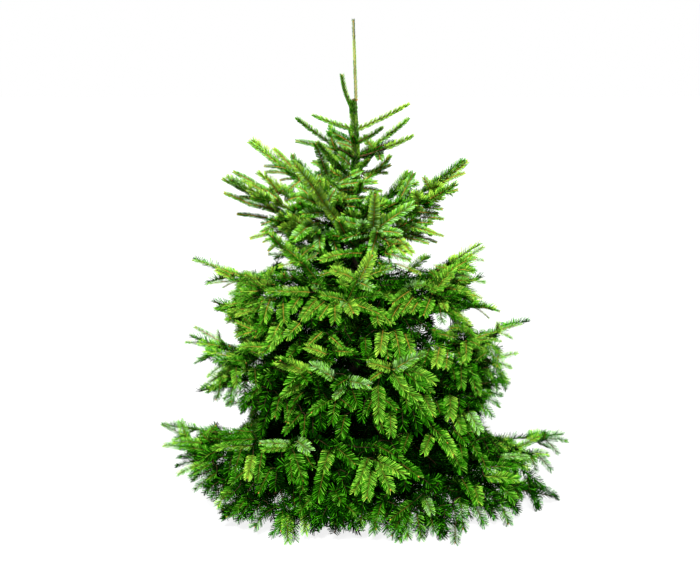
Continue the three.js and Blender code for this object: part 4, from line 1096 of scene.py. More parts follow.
def grow_bough(tree, level, index):
    """One bough's yearly shoots with everything that grows on it."""
    whorl = WHORLS[level]
    boughs = whorl["boughs"]
    azimuth, height, reach, tip = boughs[index]
    previous = boughs[index - 1][0]
    following = boughs[(index + 1) % len(boughs)][0]
    before = azimuth - ((azimuth - previous) % 360) / 2
    after = azimuth + ((following - azimuth) % 360) / 2
    floor = WHORLS[level - 1]["ceiling"] if level > 0 else (0, 0)
    centre = trunk_axis(boughs[0][1])
    space = Space(centre, before, after, floor, whorl["ceiling"])
    path = bough_path(azimuth, height, reach - TIP_NEEDLES * whorl["needle"], tip, whorl["sag"])
    years = whorl["years"]
    part = f"{whorl['name']}_{index + 1}"
    first = math.ceil((whorl["limb"] + FIRST_SPRAY_PAST_LIMB) * years)
    for year, u, v in by_year(years):
        own = (level * 10 + index) * 10 + year
        thick = bough_radius(whorl, u)
        up = facing(path.along((u + v) / 2), 0)
        end = bough_radius(whorl, v)
        tree.append(Shoot(*path.piece(u, v), up, thick, end, years - year, 0, whorl, part, own))
        if year >= first:
            side_sprays(tree, whorl, path, u, own, space, years - year, part, thick)
            if year < years - 1 and whorl["hang"] > 0:
                hanging_spray(tree, whorl, path, u, own, part)
        if year >= first - 1:
            grow_between(tree, path, (u + v) / 2, years, up, 1, own, whorl, part, thick, BETWEEN_ON_BOUGHS)


def bough_radius(whorl, u):
    return mix(whorl["root"], TWIG_TIP_RADIUS, math.sqrt(u)) * mix(1, LIMB_TAPER, u)


def inner_whorl(z):
    """The whorl whose manner of growth a twig at that height on the trunk has."""
    below = [whorl for whorl in WHORLS if whorl["boughs"][0][1] <= z + LESSER_UNDER_WHORL]
    return max(below, key=lambda whorl: whorl["boughs"][0][1])


def grow_lesser_bough(tree, row, sag, whorl, part, number, yearly):
    """A small bough with its side sprays and hanging sprays, free of any one mass's space."""
    path = bough_path(*row, sag)
    years = years_for(path.length, LESSER_YEARS, {"yearly": yearly})
    for year, u, v in by_year(years):
        own = (FIRST_KEYS[part] + number) * 10 + year
        if in_opening(path.at(v)):
            return
        thick = mix(LESSER_ROOT, LESSER_TIP, u)
        tree.append(Shoot(*path.piece(u, v), facing(path.along((u + v) / 2), 0), thick,
                          mix(LESSER_ROOT, LESSER_TIP, v), years - year, 0, whorl, part, own))
        if year > 0:
            side_sprays(tree, whorl, path, u, own, None, years - year, part, thick)
            if whorl["hang"] > 0:
                hanging_spray(tree, whorl, path, u * LESSER_HANGING_PLACE, own, part)


def grow_lesser(tree):
    """The lesser boughs on the trunk, the apron, the boughs beside a whorl's own and the crown's shoots."""
    for i in range(LESSER_BOUGHS):
        height = i / (LESSER_BOUGHS - 1)
        z = mix(LESSER_LOWEST, LESSER_HIGHEST, height)
        azimuth = i * LESSER_TURN + varied(0, LESSER_TURN_SPREAD, i, 3, 3)
        reach = mix(LESSER_REACH_LOW, LESSER_REACH_HIGH, height**LESSER_REACH_BEND)
        reach *= varied(LESSER_REACH_MIDDLE, LESSER_REACH_SPREAD, i, 3, 6)
        rise = mix(LESSER_RISE_LOW, LESSER_RISE_HIGH, height) + varied(0, LESSER_RISE_SPREAD, i, 3, 4)
        row = (azimuth, z, reach, max(z + rise * reach, LESSER_LOWEST_TIP))
        grow_lesser_bough(tree, row, LESSER_SAG, inner_whorl(z), "inner", i, LESSER_YEARLY)
    for i, row in enumerate(APRON):
        grow_lesser_bough(tree, row, -APRON_ARCH, {**WHORLS[1], **APRON_MANNER}, "apron", i, APRON_YEARLY)
    for i, (level, *row, sag) in enumerate(PAIRED_BOUGHS):
        grow_lesser_bough(tree, row, sag, WHORLS[level], "paired", i, PAIRED_YEARLY[level])
    for i, row in enumerate(CROWN_SHOOTS):
        path = bough_path(*row, CROWN_SHOOT_SAG)
        tree.append(Shoot(*path.piece(0, 1), facing(path.along(0.5), 0), CROWN_SHOOT_ROOT, CROWN_SHOOT_END,
                          1, 1, WHORLS[-1], "stem", FIRST_KEYS["stem"] + i))


def stem_shoot(part, number, low, high, lean):
    """The stem's growth from one height to another, which may lean to the left in its upper part."""
    heights = (low, (low + high) / 2, high)
    ends = [trunk_axis(z) + Vector((min(CLAD_LEAN_FROM - z, 0) * lean, 0, 0)) for z in heights]
    return Shoot(*ends, outward(STEM_TURN * number), trunk_radius(low), trunk_radius(high), 1, 0,
                 WHORLS[-1], part, FIRST_KEYS[part] + number)


def grow_leader(tree):
    """The needle-clad stem, the leader with its stubs of needles and the shoot beside it."""
    for i, (low, high) in enumerate(zip(STEM_NODES, STEM_NODES[1:])):
        tree.append(stem_shoot("clad", i, low, high, CLAD_LEAN))
    for i, u, v in by_year(LEADER_PIECES):
        low, high = mix(LEADER_FOOT, TREE_TOP, u), mix(LEADER_FOOT, TREE_TOP, v)
        tree.append(stem_shoot("leader", i, low, high, 0))
    tree.append(Shoot(*rival_path().piece(RIVAL["first"], 1), outward(0), RIVAL["root"], RIVAL["end"], 1, 0,
                      WHORLS[-1], "rival", FIRST_KEYS["rival"]))


def grow_outer(tree):
    """The outer shoots that stand clear of the rest, as the front has them and turned to the other sides."""
    key = FIRST_KEYS["outer"]
    outer = []
    for part, rows in (("crown", CROWN_SPRAYS), ("outer_a", UPPER_SPRAYS), ("outer_b", MIDDLE_SPRAYS),
                       ("outer_c", SKIRT_SPRAYS), ("crown", CROWN_SHADOWS)):
        crown = part == "crown"
        for row in rows:
            key += 1 if crown else 2
            for turn in (0,) if crown else TURN_KEYS:
                shoot = grow_outer_shoot(part, picked(row, crown), key + TURN_KEYS[turn], turn)
                if shoot:
                    outer.append((shoot, turn))
    tree += fastened(tree, outer)


def grow_outer_shoot(part, picture_shoot, key, turn):
    """One outer shoot, or none where its turned copy has no room."""
    foot, tip, needle, shade = picture_shoot
    crown = part == "crown"
    front = Vector((0, -1, 0))
    front.rotate(Quaternion(UP, math.radians(turn)))
    sideways = turn in (90, 270)
    if sideways and (max(abs(foot.x), abs(tip.x)) > SIDE_WIDTH or max(foot.y, tip.y) > SIDE_DEPTH):
        return None
    for push in SIDE_PUSHES if sideways else (1,):
        a, b = foot.copy(), tip.copy()
        for v in (a, b):
            v.z -= SHOOT_DROP
            v.rotate(Quaternion(UP, math.radians(turn)))
            v.x *= push
        if not turn or all(in_outline(a + (b - a) * share) for share in (0, 0.5, 1)):
            break
    else:
        return None
    along = (b - a).normalized()
    wish = UP + Vector((b.x, b.y, 0)).normalized() * OUTER_TURN_OUT
    wish += front * (CROWN_TURN_FRONT if crown else OUTER_TURN_FRONT)
    up = (wish - along * wish.dot(along)).normalized()
    middle = (a + b) / 2 + up * ((b - a).length * OUTER_BOW)
    whorl = {**WHORLS[-1], "needle": needle, "brush": 0 if crown else OUTER_BRUSH,
             "dense": CROWN_DENSE if crown else OUTER_DENSE}
    thick = CROWN_THICK if crown else OUTER_THICK
    return Shoot(a, middle, b, up, thick, thick * OUTER_TAPER, 1, 1, whorl, part, key, shade)


def fastened(tree, outer):
    """The outer shoots, each on a twig from its foot to the nearest limb further in.

    A turned copy with no limb near it is left out. The work goes from the inside out, and only what already
    hangs on the tree can hold another shoot.
    """
    outer = sorted(outer, key=lambda row: math.hypot(row[0].root.x, row[0].root.y))
    rows = tree + [shoot for shoot, _ in outer]
    limbs = np.array([[tuple(s.root.lerp(s.tip, share)) for share in LINK_PLACES] for s in rows])
    inward = np.hypot(limbs[:, :, 0], limbs[:, :, 1])
    held = np.arange(len(rows)) < len(tree)
    kept = []
    for index, (shoot, turn) in enumerate(outer, len(tree)):
        far = np.linalg.norm(limbs - np.array(tuple(shoot.root)), axis=2)
        far[~held] = FAR_AWAY
        far[inward > math.hypot(shoot.root.x, shoot.root.y)] += OUTWARD_LINK_COST
        nearest = np.unravel_index(np.argmin(far), far.shape)
        start = Vector(limbs[nearest])
        gap = (start - shoot.root).length
        if turn and gap > LONGEST_LINK:
            continue
        held[index] = True
        kept.append(shoot)
        if gap > shoot.thick:
            bend = (start + shoot.root) / 2 - (shoot.tip - shoot.root).normalized() * (gap * LINK_BEND)
            bare = shoot.part == "crown" or in_opening(bend) or in_opening(start)
            part = "bare" if bare else "link_" + shoot.part
            kept.append(Shoot(start, bend, shoot.root.copy(), shoot.up, shoot.thick * LINK_THICKER,
                              shoot.thick, 2, 1, shoot.whorl, part, shoot.key, SHADE))
    return kept


@functools.lru_cache(maxsize=1)
def whole_tree():
    """Every shoot of the tree, grown once for all the operators."""
    tree = []
    for level, whorl in enumerate(WHORLS):
        for index in range(len(whorl["boughs"])):
            grow_bough(tree, level, index)
    grow_lesser(tree)
    grow_leader(tree)
    grow_outer(tree)
    return tree


class Wire:
    """A value in a material. Arithmetic on it adds Math nodes."""

    def __init__(self, finish, socket):
        self.finish = finish
        self.socket = socket

    def _math(self, operation, *values):
        return self.finish.node("ShaderNodeMath", {"operation": operation}, *values)

    def __add__(self, other):
        return self._math("ADD", self, other)

    def __mul__(self, other):
        return self._math("MULTIPLY", self, other)


class Finish:
    """A material being made: a Principled shader, and nodes added one by one."""

    def __init__(self, name):
        self.material = bpy.data.materials.new(name)
        self.material.use_nodes = True
        self.tree = self.material.node_tree
        self.shader = self.tree.nodes["Principled BSDF"]

    def node(self, kind, settings=None, *values, out=0, **named):
        node = self.tree.nodes.new(kind)
        for key, value in (settings or {}).items():
            setattr(node, key, value)
        for key, value in list(enumerate(values)) + list(named.items()):
            self.feed(node.inputs[key if isinstance(key, int) else key.replace("_", " ")], value)
        return Wire(self, node.outputs[out])

    def feed(self, socket, value):
        if isinstance(value, Wire):
            self.tree.links.new(value.socket, socket)
        else:
            socket.default_value = value

    def place(self, **mapping):
        """Object coordinates, moved, turned or scaled by a Mapping node."""
        coordinates = self.node("ShaderNodeTexCoord", out=OBJECT_PLACE)
        return self.node("ShaderNodeMapping", None, Vector=coordinates, **mapping)

    def noise(self, where, scale, detail=3.0, roughness=0.55):
        return self.node("ShaderNodeTexNoise", None, Vector=where, Scale=scale, Detail=detail,
                         Roughness=roughness)

    def span(self, value, low, high, to_low=0.0, to_high=1.0):
        return self.node("ShaderNodeMapRange", {"clamp": True}, value, low, high, to_low, to_high)

    def blend(self, factor, first, second):
        node = self.tree.nodes.new("ShaderNodeMix")
        node.data_type = "RGBA"
        for index, value in zip(MIX_FACTOR_AND_COLOURS, (factor, first, second)):
            self.feed(node.inputs[index], value)
        return Wire(self, node.outputs[MIX_RESULT])

    def bump(self, height, strength, distance):
        return self.node("ShaderNodeBump", None, Height=height, Strength=strength, Distance=distance)

    def finish(self, **sockets):
        for key, value in sockets.items():
            self.feed(self.shader.inputs[key.replace("_", " ")], value)
        return self.material


def tint(colour, *factors):
    """The colour, made lighter or darker by one factor, or by one for each of its channels."""
    return tuple(min(1.0, c * k) for c, k in zip(colour, factors * 3)) + (1.0,)


def needle_finish(name, colour, wax):
    """Waxy needle green, darker at the needle's foot as painted shade and pale at its tip as a painted
    highlight, and uneven from spray to spray.
    """
    f = Finish(name)
    patches = f.noise(f.place(), scale=9.0, detail=2.0)
    fine = f.noise(f.place(), scale=160.0, detail=1.0)
    share = f.span(patches * 0.6 + fine * 0.4, 0.3, 0.7)
    along = f.node("ShaderNodeAttribute", {"attribute_name": ALONG_NEEDLE}, out=ATTRIBUTE_NUMBER)
    # pale: the colour of the tip's painted highlight
    pale = tint(colour, *PAINTED_HIGHLIGHT_TIP)
    return f.finish(
        Base_Color=f.blend(along, f.blend(share, tint(colour, 0.33), tint(colour, 0.5)),
                           f.blend(share, tint(pale, 0.9), tint(pale, 1.35))),
        Roughness=f.span(fine, 0.3, 0.7, 0.38, 0.55),
        Specular_IOR_Level=wax,
    )


def bark_finish(name, low, high):
    """Grey-brown bark at the foot, turning orange-brown up the leader, with resin blisters and scars."""
    f = Finish(name)
    place = f.node("ShaderNodeTexCoord", out=OBJECT_PLACE)
    height = f.node("ShaderNodeSeparateXYZ", None, place, out=PLACE_Z)
    plates = f.noise(f.place(Scale=(60, 60, 18)), scale=1.0, detail=5.0, roughness=0.62)
    blisters = f.node("ShaderNodeTexVoronoi", None, Vector=f.place(Scale=(1, 1, 2.2)), Scale=120.0)
    blister = f.span(blisters, 0.0, 0.35, 1.0, 0.0)
    base = f.blend(f.span(height, LEADER_FOOT - 0.005, LEADER_FOOT + 0.01), low, high)
    shaded = f.blend(f.span(plates, 0.35, 0.65), f.blend(0.6, base, tint(low, 0.4)), base)
    return f.finish(
        Base_Color=f.blend(blister * 0.35, shaded, tint(low, 1.9)),
        Roughness=f.span(plates, 0.3, 0.7, 0.72, 0.92),
        Normal=f.bump(plates * 0.8 + blister * 0.4, strength=0.6, distance=0.0012),
    )


def twig_finish(name, colour, scale):
    """Young bark with fine lengthwise streaks and needle scars."""
    f = Finish(name)
    streaks = f.noise(f.place(), scale)
    spots = f.node("ShaderNodeTexVoronoi", None, Vector=f.place(), Scale=scale * 2.4)
    spot = f.span(spots, 0.1, 0.4, 1.0, 0.0)
    base = f.blend(f.span(streaks, 0.35, 0.65), tint(colour, 0.7), tint(colour, 1.25))
    return f.finish(
        Base_Color=f.blend(spot * 0.4, base, tint(colour, 0.5)),
        Specular_IOR_Level=TWIG_SHEEN,
        Roughness=f.span(streaks, 0.3, 0.7, 0.6, 0.85),
        Normal=f.bump(streaks, strength=0.4, distance=0.0006),
    )


def planed_finish(name, colour):
    """Planed pale softwood: growth rings cut lengthwise, fine pores and a soft surface."""
    f = Finish(name)
    rings = f.node("ShaderNodeTexWave", {"wave_type": "RINGS", "rings_direction": "X"},
                   Vector=f.place(Location=(0, 0.02, 0.05)), Scale=34.0, Distortion=2.2, Detail=3.0,
                   Detail_Scale=1.4, out=WAVE_NUMBER)
    grain = f.noise(f.place(Scale=(6, 90, 90)), scale=4.0, detail=4.0)
    base = f.blend(f.span(rings, 0.2, 0.9), tint(colour, 1.12), tint(colour, 0.72))
    return f.finish(
        Base_Color=f.blend(f.span(grain, 0.4, 0.7) * 0.35, base, tint(colour, 0.6)),
        Roughness=f.span(grain, 0.3, 0.7, 0.55, 0.75),
        Normal=f.bump(grain, strength=0.25, distance=0.0005),
    )


def steel_finish(name):
    """Bright zinc-plated screw heads."""
    f = Finish(name)
    brushed = f.noise(f.place(), scale=700.0, detail=2.0)
    return f.finish(
        Base_Color=f.blend(f.span(brushed, 0.3, 0.7), (0.42, 0.42, 0.4, 1), (0.6, 0.6, 0.56, 1)),
        Metallic=1.0,
        Roughness=f.span(brushed, 0.3, 0.7, 0.28, 0.45),
    )


def glowing_finish(name, shade, glow):
    """Lit white studio surface, faintly uneven."""
    f = Finish(name)
    cloud = f.noise(f.place(), scale=0.6, detail=2.0)
    return f.finish(
        Base_Color=f.blend(cloud, (shade * 0.98,) * 3 + (1,), (shade,) * 3 + (1,)),
        Roughness=0.9,
        Specular_IOR_Level=0.0,
        Emission_Color=(1, 1, 1, 1),
        Emission_Strength=glow,
    )


def pick_only(*pieces):
    """Selects these pieces alone and makes the first of them the active one."""
    bpy.ops.object.select_all(action="DESELECT")
    for piece in pieces:
        piece.select_set(True)
    if pieces:
        bpy.context.view_layer.objects.active = pieces[0]


def mesh_object(name, points, faces, materials, slots):
    """A finished piece from arrays of points and equal-sided faces."""
    mesh = bpy.data.meshes.new(name)
    sides = faces.shape[1]
    mesh.vertices.add(len(points))
    mesh.vertices.foreach_set("co", np.ascontiguousarray(points, dtype=np.float32).ravel())
    mesh.loops.add(faces.size)
    mesh.loops.foreach_set("vertex_index", np.ascontiguousarray(faces, dtype=np.int32).ravel())
    mesh.polygons.add(len(faces))
    mesh.polygons.foreach_set("loop_start", np.arange(0, faces.size, sides, dtype=np.int32))
    mesh.polygons.foreach_set("material_index", slots.astype(np.int32))
    mesh.update(calc_edges=True)
    for material in materials:
        mesh.materials.append(material)
    obj = bpy.data.objects.new(name, mesh)
    bpy.context.scene.collection.objects.link(obj)
    return obj


def shade_smooth(obj):
    obj.data.polygons.foreach_set("use_smooth", [True] * len(obj.data.polygons))


def hand_over(obj, slot, *nodes):
    """Gives a finished piece to the tree's body and hides the nodes that it stands in for.

    Its slot is not used.
    """
    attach(obj, "root")
    if nodes:
        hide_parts(*nodes)
    return obj


def unit(vectors):
    return vectors / np.maximum(np.linalg.norm(vectors, axis=1, keepdims=True), 1e-9)


def square_to(vectors, axes):
    """The vectors turned to stand square to the axes, one long each."""
    return unit(vectors - axes * np.sum(vectors * axes, axis=1, keepdims=True))


def ring_of(centre, over, across, radius, sides):
    """Points in a ring round a centre."""
    turns = [2 * math.pi * k / sides for k in range(sides)]
    return [centre + (over * math.cos(turn) + across * math.sin(turn)) * radius for turn in turns]


def limb_rings(path_points, radii, sides):
    """Rings of points round a path."""
    rings = []
    previous = Vector((0.02, 1, 0.01))
    for i, point in enumerate(path_points):
        ahead = path_points[min(i + 1, len(path_points) - 1)]
        behind = path_points[max(i - 1, 0)]
        along = (ahead - behind).normalized()
        across = along.cross(previous).normalized()
        previous = across.cross(along).normalized()
        rings += ring_of(point, previous, across, radii[i], sides)
    return rings


def extruded(context, points, radii, sides, turn):
    """A limb made as by hand: a circle round the path's start, pushed out step by step."""
    pick_only()
    bpy.ops.mesh.primitive_circle_add(vertices=sides, radius=radii[0], location=points[0], rotation=turn,
                                      fill_type="NGON")
    limb = context.object
    bpy.ops.object.mode_set(mode="EDIT")
    bpy.ops.mesh.select_all(action="SELECT")
    for i in range(1, len(points)):
        bpy.ops.mesh.extrude_region_move(TRANSFORM_OT_translate={"value": points[i] - points[i - 1]})
        ratio = radii[i] / radii[i - 1]
        bpy.ops.transform.resize(value=(ratio, ratio, ratio), center_override=points[i])
    bpy.ops.mesh.select_all(action="SELECT")
    bpy.ops.mesh.normals_make_consistent(inside=False)
    bpy.ops.object.mode_set(mode="OBJECT")
    bpy.ops.object.transform_apply(location=True, rotation=True, scale=True)
    return limb


def add_relief(piece, name, coarseness, depth, strength):
    """Moves the active piece's points in and out like bark, and smooths its shading."""
    relief = bpy.data.textures.new(name, "CLOUDS")
    relief.noise_scale = coarseness
    relief.noise_depth = depth
    displace = piece.modifiers.new(name, "DISPLACE")
    displace.texture = relief
    displace.texture_coords = "LOCAL"
    displace.strength = strength
    bpy.ops.object.modifier_apply(modifier=displace.name)
    bpy.ops.object.shade_smooth()


class FirSizes(bpy.types.PropertyGroup):
    """Sizes of the needles, twigs and buds."""

    needle_width: bpy.props.FloatProperty(
        name="Needle width", description="Widest part of one needle", default=0.0023, subtype="DISTANCE",
        unit="LENGTH")
    needle_length: bpy.props.FloatProperty(
        name="Needle length factor", description="Scales every needle's length", default=1, min=0.2, max=2)
    needles_per_metre: bpy.props.FloatProperty(
        name="Needles per metre", description="Needles along a young shoot", default=1050, min=50, max=5000)
    bud_length: bpy.props.FloatProperty(
        name="Bud length", description="Length of the bud at a shoot's tip", default=0.0062,
        subtype="DISTANCE", unit="LENGTH")


def colour(name, description, red, green, blue):
    return bpy.props.FloatVectorProperty(
        name=name, description=description, subtype="COLOR", size=4, default=(red, green, blue, 1))


class FirColours(bpy.types.PropertyGroup):
    """Colours of the tree and its stand."""

    # The needle greens from new to shade are dealt out lighter or darker by where a spray stands, as painted
    # light and shade; deep is partly older needles' own darker green and partly painted shade.
    new: colour("New growth", "Yellow-green of the outermost shoots", 0.152, 0.312, 0.014)
    bright: colour("Bright needles", "Lit outer green", 0.066, 0.222, 0.008)
    middle: colour("Middle needles", "Saturated middle green", 0.0142, 0.110, 0.0008)
    deep: colour("Deep needles", "Dark green of older needles inside", 0.0015, 0.021, 0.0001)
    shade: colour("Shaded needles", "Blackish green of the needles deep in the tree", 0.0005, 0.005, 0.0001)
    silver: colour("Silver needles", "Pale bluish green of needles seen from below", 0.140, 0.300, 0.060)
    bark_low: colour("Old bark", "Grey-brown of the lower trunk", 0.070, 0.047, 0.028)
    bark_high: colour("Leader bark", "Orange-brown of the leader", 0.300, 0.250, 0.080)
    twig: colour("Twig bark", "Orange-brown of young twigs", 0.260, 0.125, 0.018)
    old_twig: colour("Old twig bark", "Brown of older twigs and boughs", 0.080, 0.042, 0.016)
    bud: colour("Buds", "Orange-brown of the buds", 0.420, 0.170, 0.035)
    planed: colour("Stand wood", "Planed pale softwood", 0.580, 0.380, 0.160)


class StageSettings(bpy.types.PropertyGroup):
    """The studio."""

    world_strength: bpy.props.FloatProperty(
        name="White surround", description="Strength of the white light from all sides", default=1.0, min=0)
    floor_glow: bpy.props.FloatProperty(
        name="Floor glow", description="Brightness of the white floor's own light", default=0.84, min=0)
    key_strength: bpy.props.FloatProperty(
        name="Key light", description="Strength of the large light in front, above", default=11, min=0)
    key_azimuth: bpy.props.FloatProperty(
        name="Key direction", description="Where the key light stands, in degrees round the tree",
        default=258)
    key_height: bpy.props.FloatProperty(
        name="Key height", description="Height of the key light over the floor, in degrees", default=50)
    key_softness: bpy.props.FloatProperty(
        name="Key softness", description="Width of the key light, in degrees", default=14, min=0)


class FIR_OT_trunk(bpy.types.Operator):
    """Shape the trunk and its bare leader, with bark relief"""

    bl_idname = "fir.trunk"
    bl_label = "Trunk and leader"

    def execute(self, context):
        colours = context.scene.fir_colours
        heights = [mix(TRUNK_FOOT, TREE_TOP, i / TRUNK_RINGS) for i in range(TRUNK_RINGS + 1)]
        collars = [whorl["boughs"][0][1] for whorl in WHORLS]
        radii = [trunk_radius(heights[0])]
        for z in heights[1:]:
            swell = max(math.exp(-((z - collar) / COLLAR_REACH) ** 2) for collar in collars)
            radii.append(trunk_radius(z) * (1 + COLLAR_SWELL * swell))
        trunk = extruded(context, [trunk_axis(z) for z in heights], radii, TRUNK_SIDES, (0, 0, 0))
        trunk.name = "trunk_bark"
        subdivide = trunk.modifiers.new("finer", "SUBSURF")
        subdivide.subdivision_type = "SIMPLE"
        subdivide.levels = subdivide.render_levels = 2
        bpy.ops.object.modifier_apply(modifier=subdivide.name)
        add_relief(trunk, "bark relief", *TRUNK_RELIEF)
        trunk.data.materials.append(bark_finish("bark", colours.bark_low[:], colours.bark_high[:]))
        hand_over(trunk, "bark", "trunk")
        return {"FINISHED"}


class FIR_OT_boughs(bpy.types.Operator):
    """Shape the main limb of every bough, with bark relief"""

    bl_idname = "fir.boughs"
    bl_label = "Boughs"

    def execute(self, context):
        colours = context.scene.fir_colours
        material = twig_finish("bough_bark", colours.old_twig[:], 90.0)
        for whorl in WHORLS:
            name = whorl["name"]
            limbs = [self.limb(context, whorl, *row) for row in whorl["boughs"]]
            nodes = [node for node in frame["nodes"] if node.startswith(f"bough_{name}_")]
            if name == "top":
                limbs.append(self.rival(context))
                nodes.append("shoot_beside_leader")
            pick_only(*limbs)
            bpy.ops.object.join()
            boughs = context.object
            boughs.name = f"boughs_{name}"
            add_relief(boughs, f"bough relief {name}", *BOUGH_RELIEF)
            boughs.data.materials.append(material)
            hand_over(boughs, "twig_bark", *nodes)
        return {"FINISHED"}

    def limb(self, context, whorl, azimuth, height, reach, tip):
        path = bough_path(azimuth, height, reach - TIP_NEEDLES * whorl["needle"], tip, whorl["sag"])
        steps = LIMB_STEPS_A_YEAR * whorl["years"] + 2
        start = LIMB_START * trunk_radius(height) / path.length
        shares = [mix(start, 1, i / steps) for i in range(steps + 1)]
        return self.along_path(context, path, shares, [bough_radius(whorl, u) for u in shares])

    def rival(self, context):
        """The shoot beside the leader, with its needles' feet as knobs."""
        steps = RIVAL["steps"]
        shares = [i / steps for i in range(steps + 1)]
        knobs = [1 + RIVAL["knob"] * (i % 2) for i in range(steps + 1)]
        radii = [mix(RIVAL["root"], RIVAL["end"], u) * knob for u, knob in zip(shares, knobs)]
        return self.along_path(context, rival_path(), shares, radii)

    def along_path(self, context, path, shares, radii):
        points = [path.at(u) for u in shares]
        along = (points[1] - points[0]).normalized()
        return extruded(context, points, radii, LIMB_SIDES, along.to_track_quat("Z", "Y").to_euler())


def depth_share(point):
    """How far out in the foliage a point is: 0 at the trunk, 1 at the outline."""
    reach = np.interp(point.z, OUTLINE_HEIGHTS, OUTLINE_REACH)
    return math.hypot(point.x, point.y) / float(reach)


def spray_class(shoot):
    """Which of the needle colours a shoot's needles have."""
    middle = (shoot.root + shoot.tip) / 2
    if shoot.part.startswith("link"):
        share = LINK_SHADE_LOW if middle.z < DIM_BELOW else LINK_SHADE_UPPER
        return SHADE if chance(shoot.key, 61, 5) < share else DEEP
    if shoot.shade == SILVER:
        return SILVER
    if shoot.shade is not None:
        # Painted shade and light: an outer shoot's colour steps lighter high up, and darker low down and near
        # the floor
        if middle.z > DIM_BELOW:
            shares = PAINTED_LIGHT_CROWN if middle.z > HIGH_FROM else PAINTED_LIGHT_UPPER
            return shoot.shade - (chance(shoot.key, 61, 3) < shares[shoot.shade])
        darker = chance(shoot.key, 61, 3) < PAINTED_SHADE_SHARES[shoot.shade]
        darker += middle.z < PAINTED_SHADE_FLOOR and chance(shoot.key, 61, 4) < PAINTED_SHADE_FLOOR_SHARE
        return min(shoot.shade + darker, DEEP)
    shares = colour_shares(shoot, middle)
    luck = chance(shoot.key, 61, 2) * sum(shares)
    for index, share in enumerate(shares):
        luck -= share
        if luck <= 0:
            return index
    return MIDDLE


def colour_shares(shoot, middle):
    """The share of each needle colour among the shoots of that kind, height and depth in the tree: darker
    deep inside and low down as painted shade, lighter in the crown as painted light.
    """
    if shoot.part in UPRIGHT:
        return STEM_SHARES
    if middle.z > HIGH_FROM:
        rows = SHADES_HIGH
    elif shoot.part == "inner":
        return INNER_SHARES
    elif abs(middle.y) > OFF_PLANE:
        rows = SHADES_OFF_UPPER if middle.z > DIM_BELOW else SHADES_OFF_LOW
    else:
        rows = SHADES_LOW if middle.z < LOW_TO else SHADES
    depth = depth_share(middle)
    return next(shares for limit, shares in rows if depth < limit)


def twig_class(shoot):
    """Which bark a twig has: 0 young with light needles, 1 with middling ones or low in the tree, painted
    shade,
    2 old or with dark ones, old bark darkened further as painted shade.
    """
    shade = spray_class(shoot)
    if shoot.root.z > HIGH_FROM:
        return 1 if shade in DARK else 0
    if shoot.age > OLD_TWIG_YEARS or shade in DARK:
        return 2
    low = (shoot.root.z + shoot.tip.z) / 2 < DIM_BELOW
    return 1 if shade == MIDDLE or low else 0


class FIR_OT_twigs(bpy.types.Operator):
    """Make every finer twig, as one joined mesh"""

    bl_idname = "fir.twigs"
    bl_label = "Twigs"

    def execute(self, context):
        colours = context.scene.fir_colours
        shoots = [s for s in whole_tree() if s.order > 0 or s.part in ("inner", "apron", "paired")]
        rings = []
        faces = []
        slots = []
        for shoot in shoots:
            middle = (shoot.root + shoot.bend * 2 + shoot.tip) / 4
            radii = (shoot.thick, (shoot.thick + shoot.thin) / 2, shoot.thin)
            for base in (len(rings), len(rings) + TWIG_SIDES):
                for k in range(TWIG_SIDES):
                    a, b = base + k, base + (k + 1) % TWIG_SIDES
                    faces.append((a, b, b + TWIG_SIDES, a + TWIG_SIDES))
            rings += limb_rings((shoot.root, middle, shoot.tip), radii, TWIG_SIDES)
            slots += [twig_class(shoot)] * (2 * TWIG_SIDES)
        # shaded_twig and the darkened old_twig are painted shade: twig bark darkened with the needles round
        # it
        materials = [twig_finish("young_twig", colours.twig[:], 240.0),
                     twig_finish("shaded_twig", tint(colours.twig, SHADED_TWIG), 240.0),
                     twig_finish("old_twig", tint(colours.old_twig, OLD_TWIG_PAINTED_SHADE), 240.0)]
        points = np.array([tuple(point) for point in rings])
        twigs = mesh_object("twigs", points, np.array(faces), materials, np.array(slots))
        shade_smooth(twigs)
        hand_over(twigs, "twig_bark")
        return {"FINISHED"}


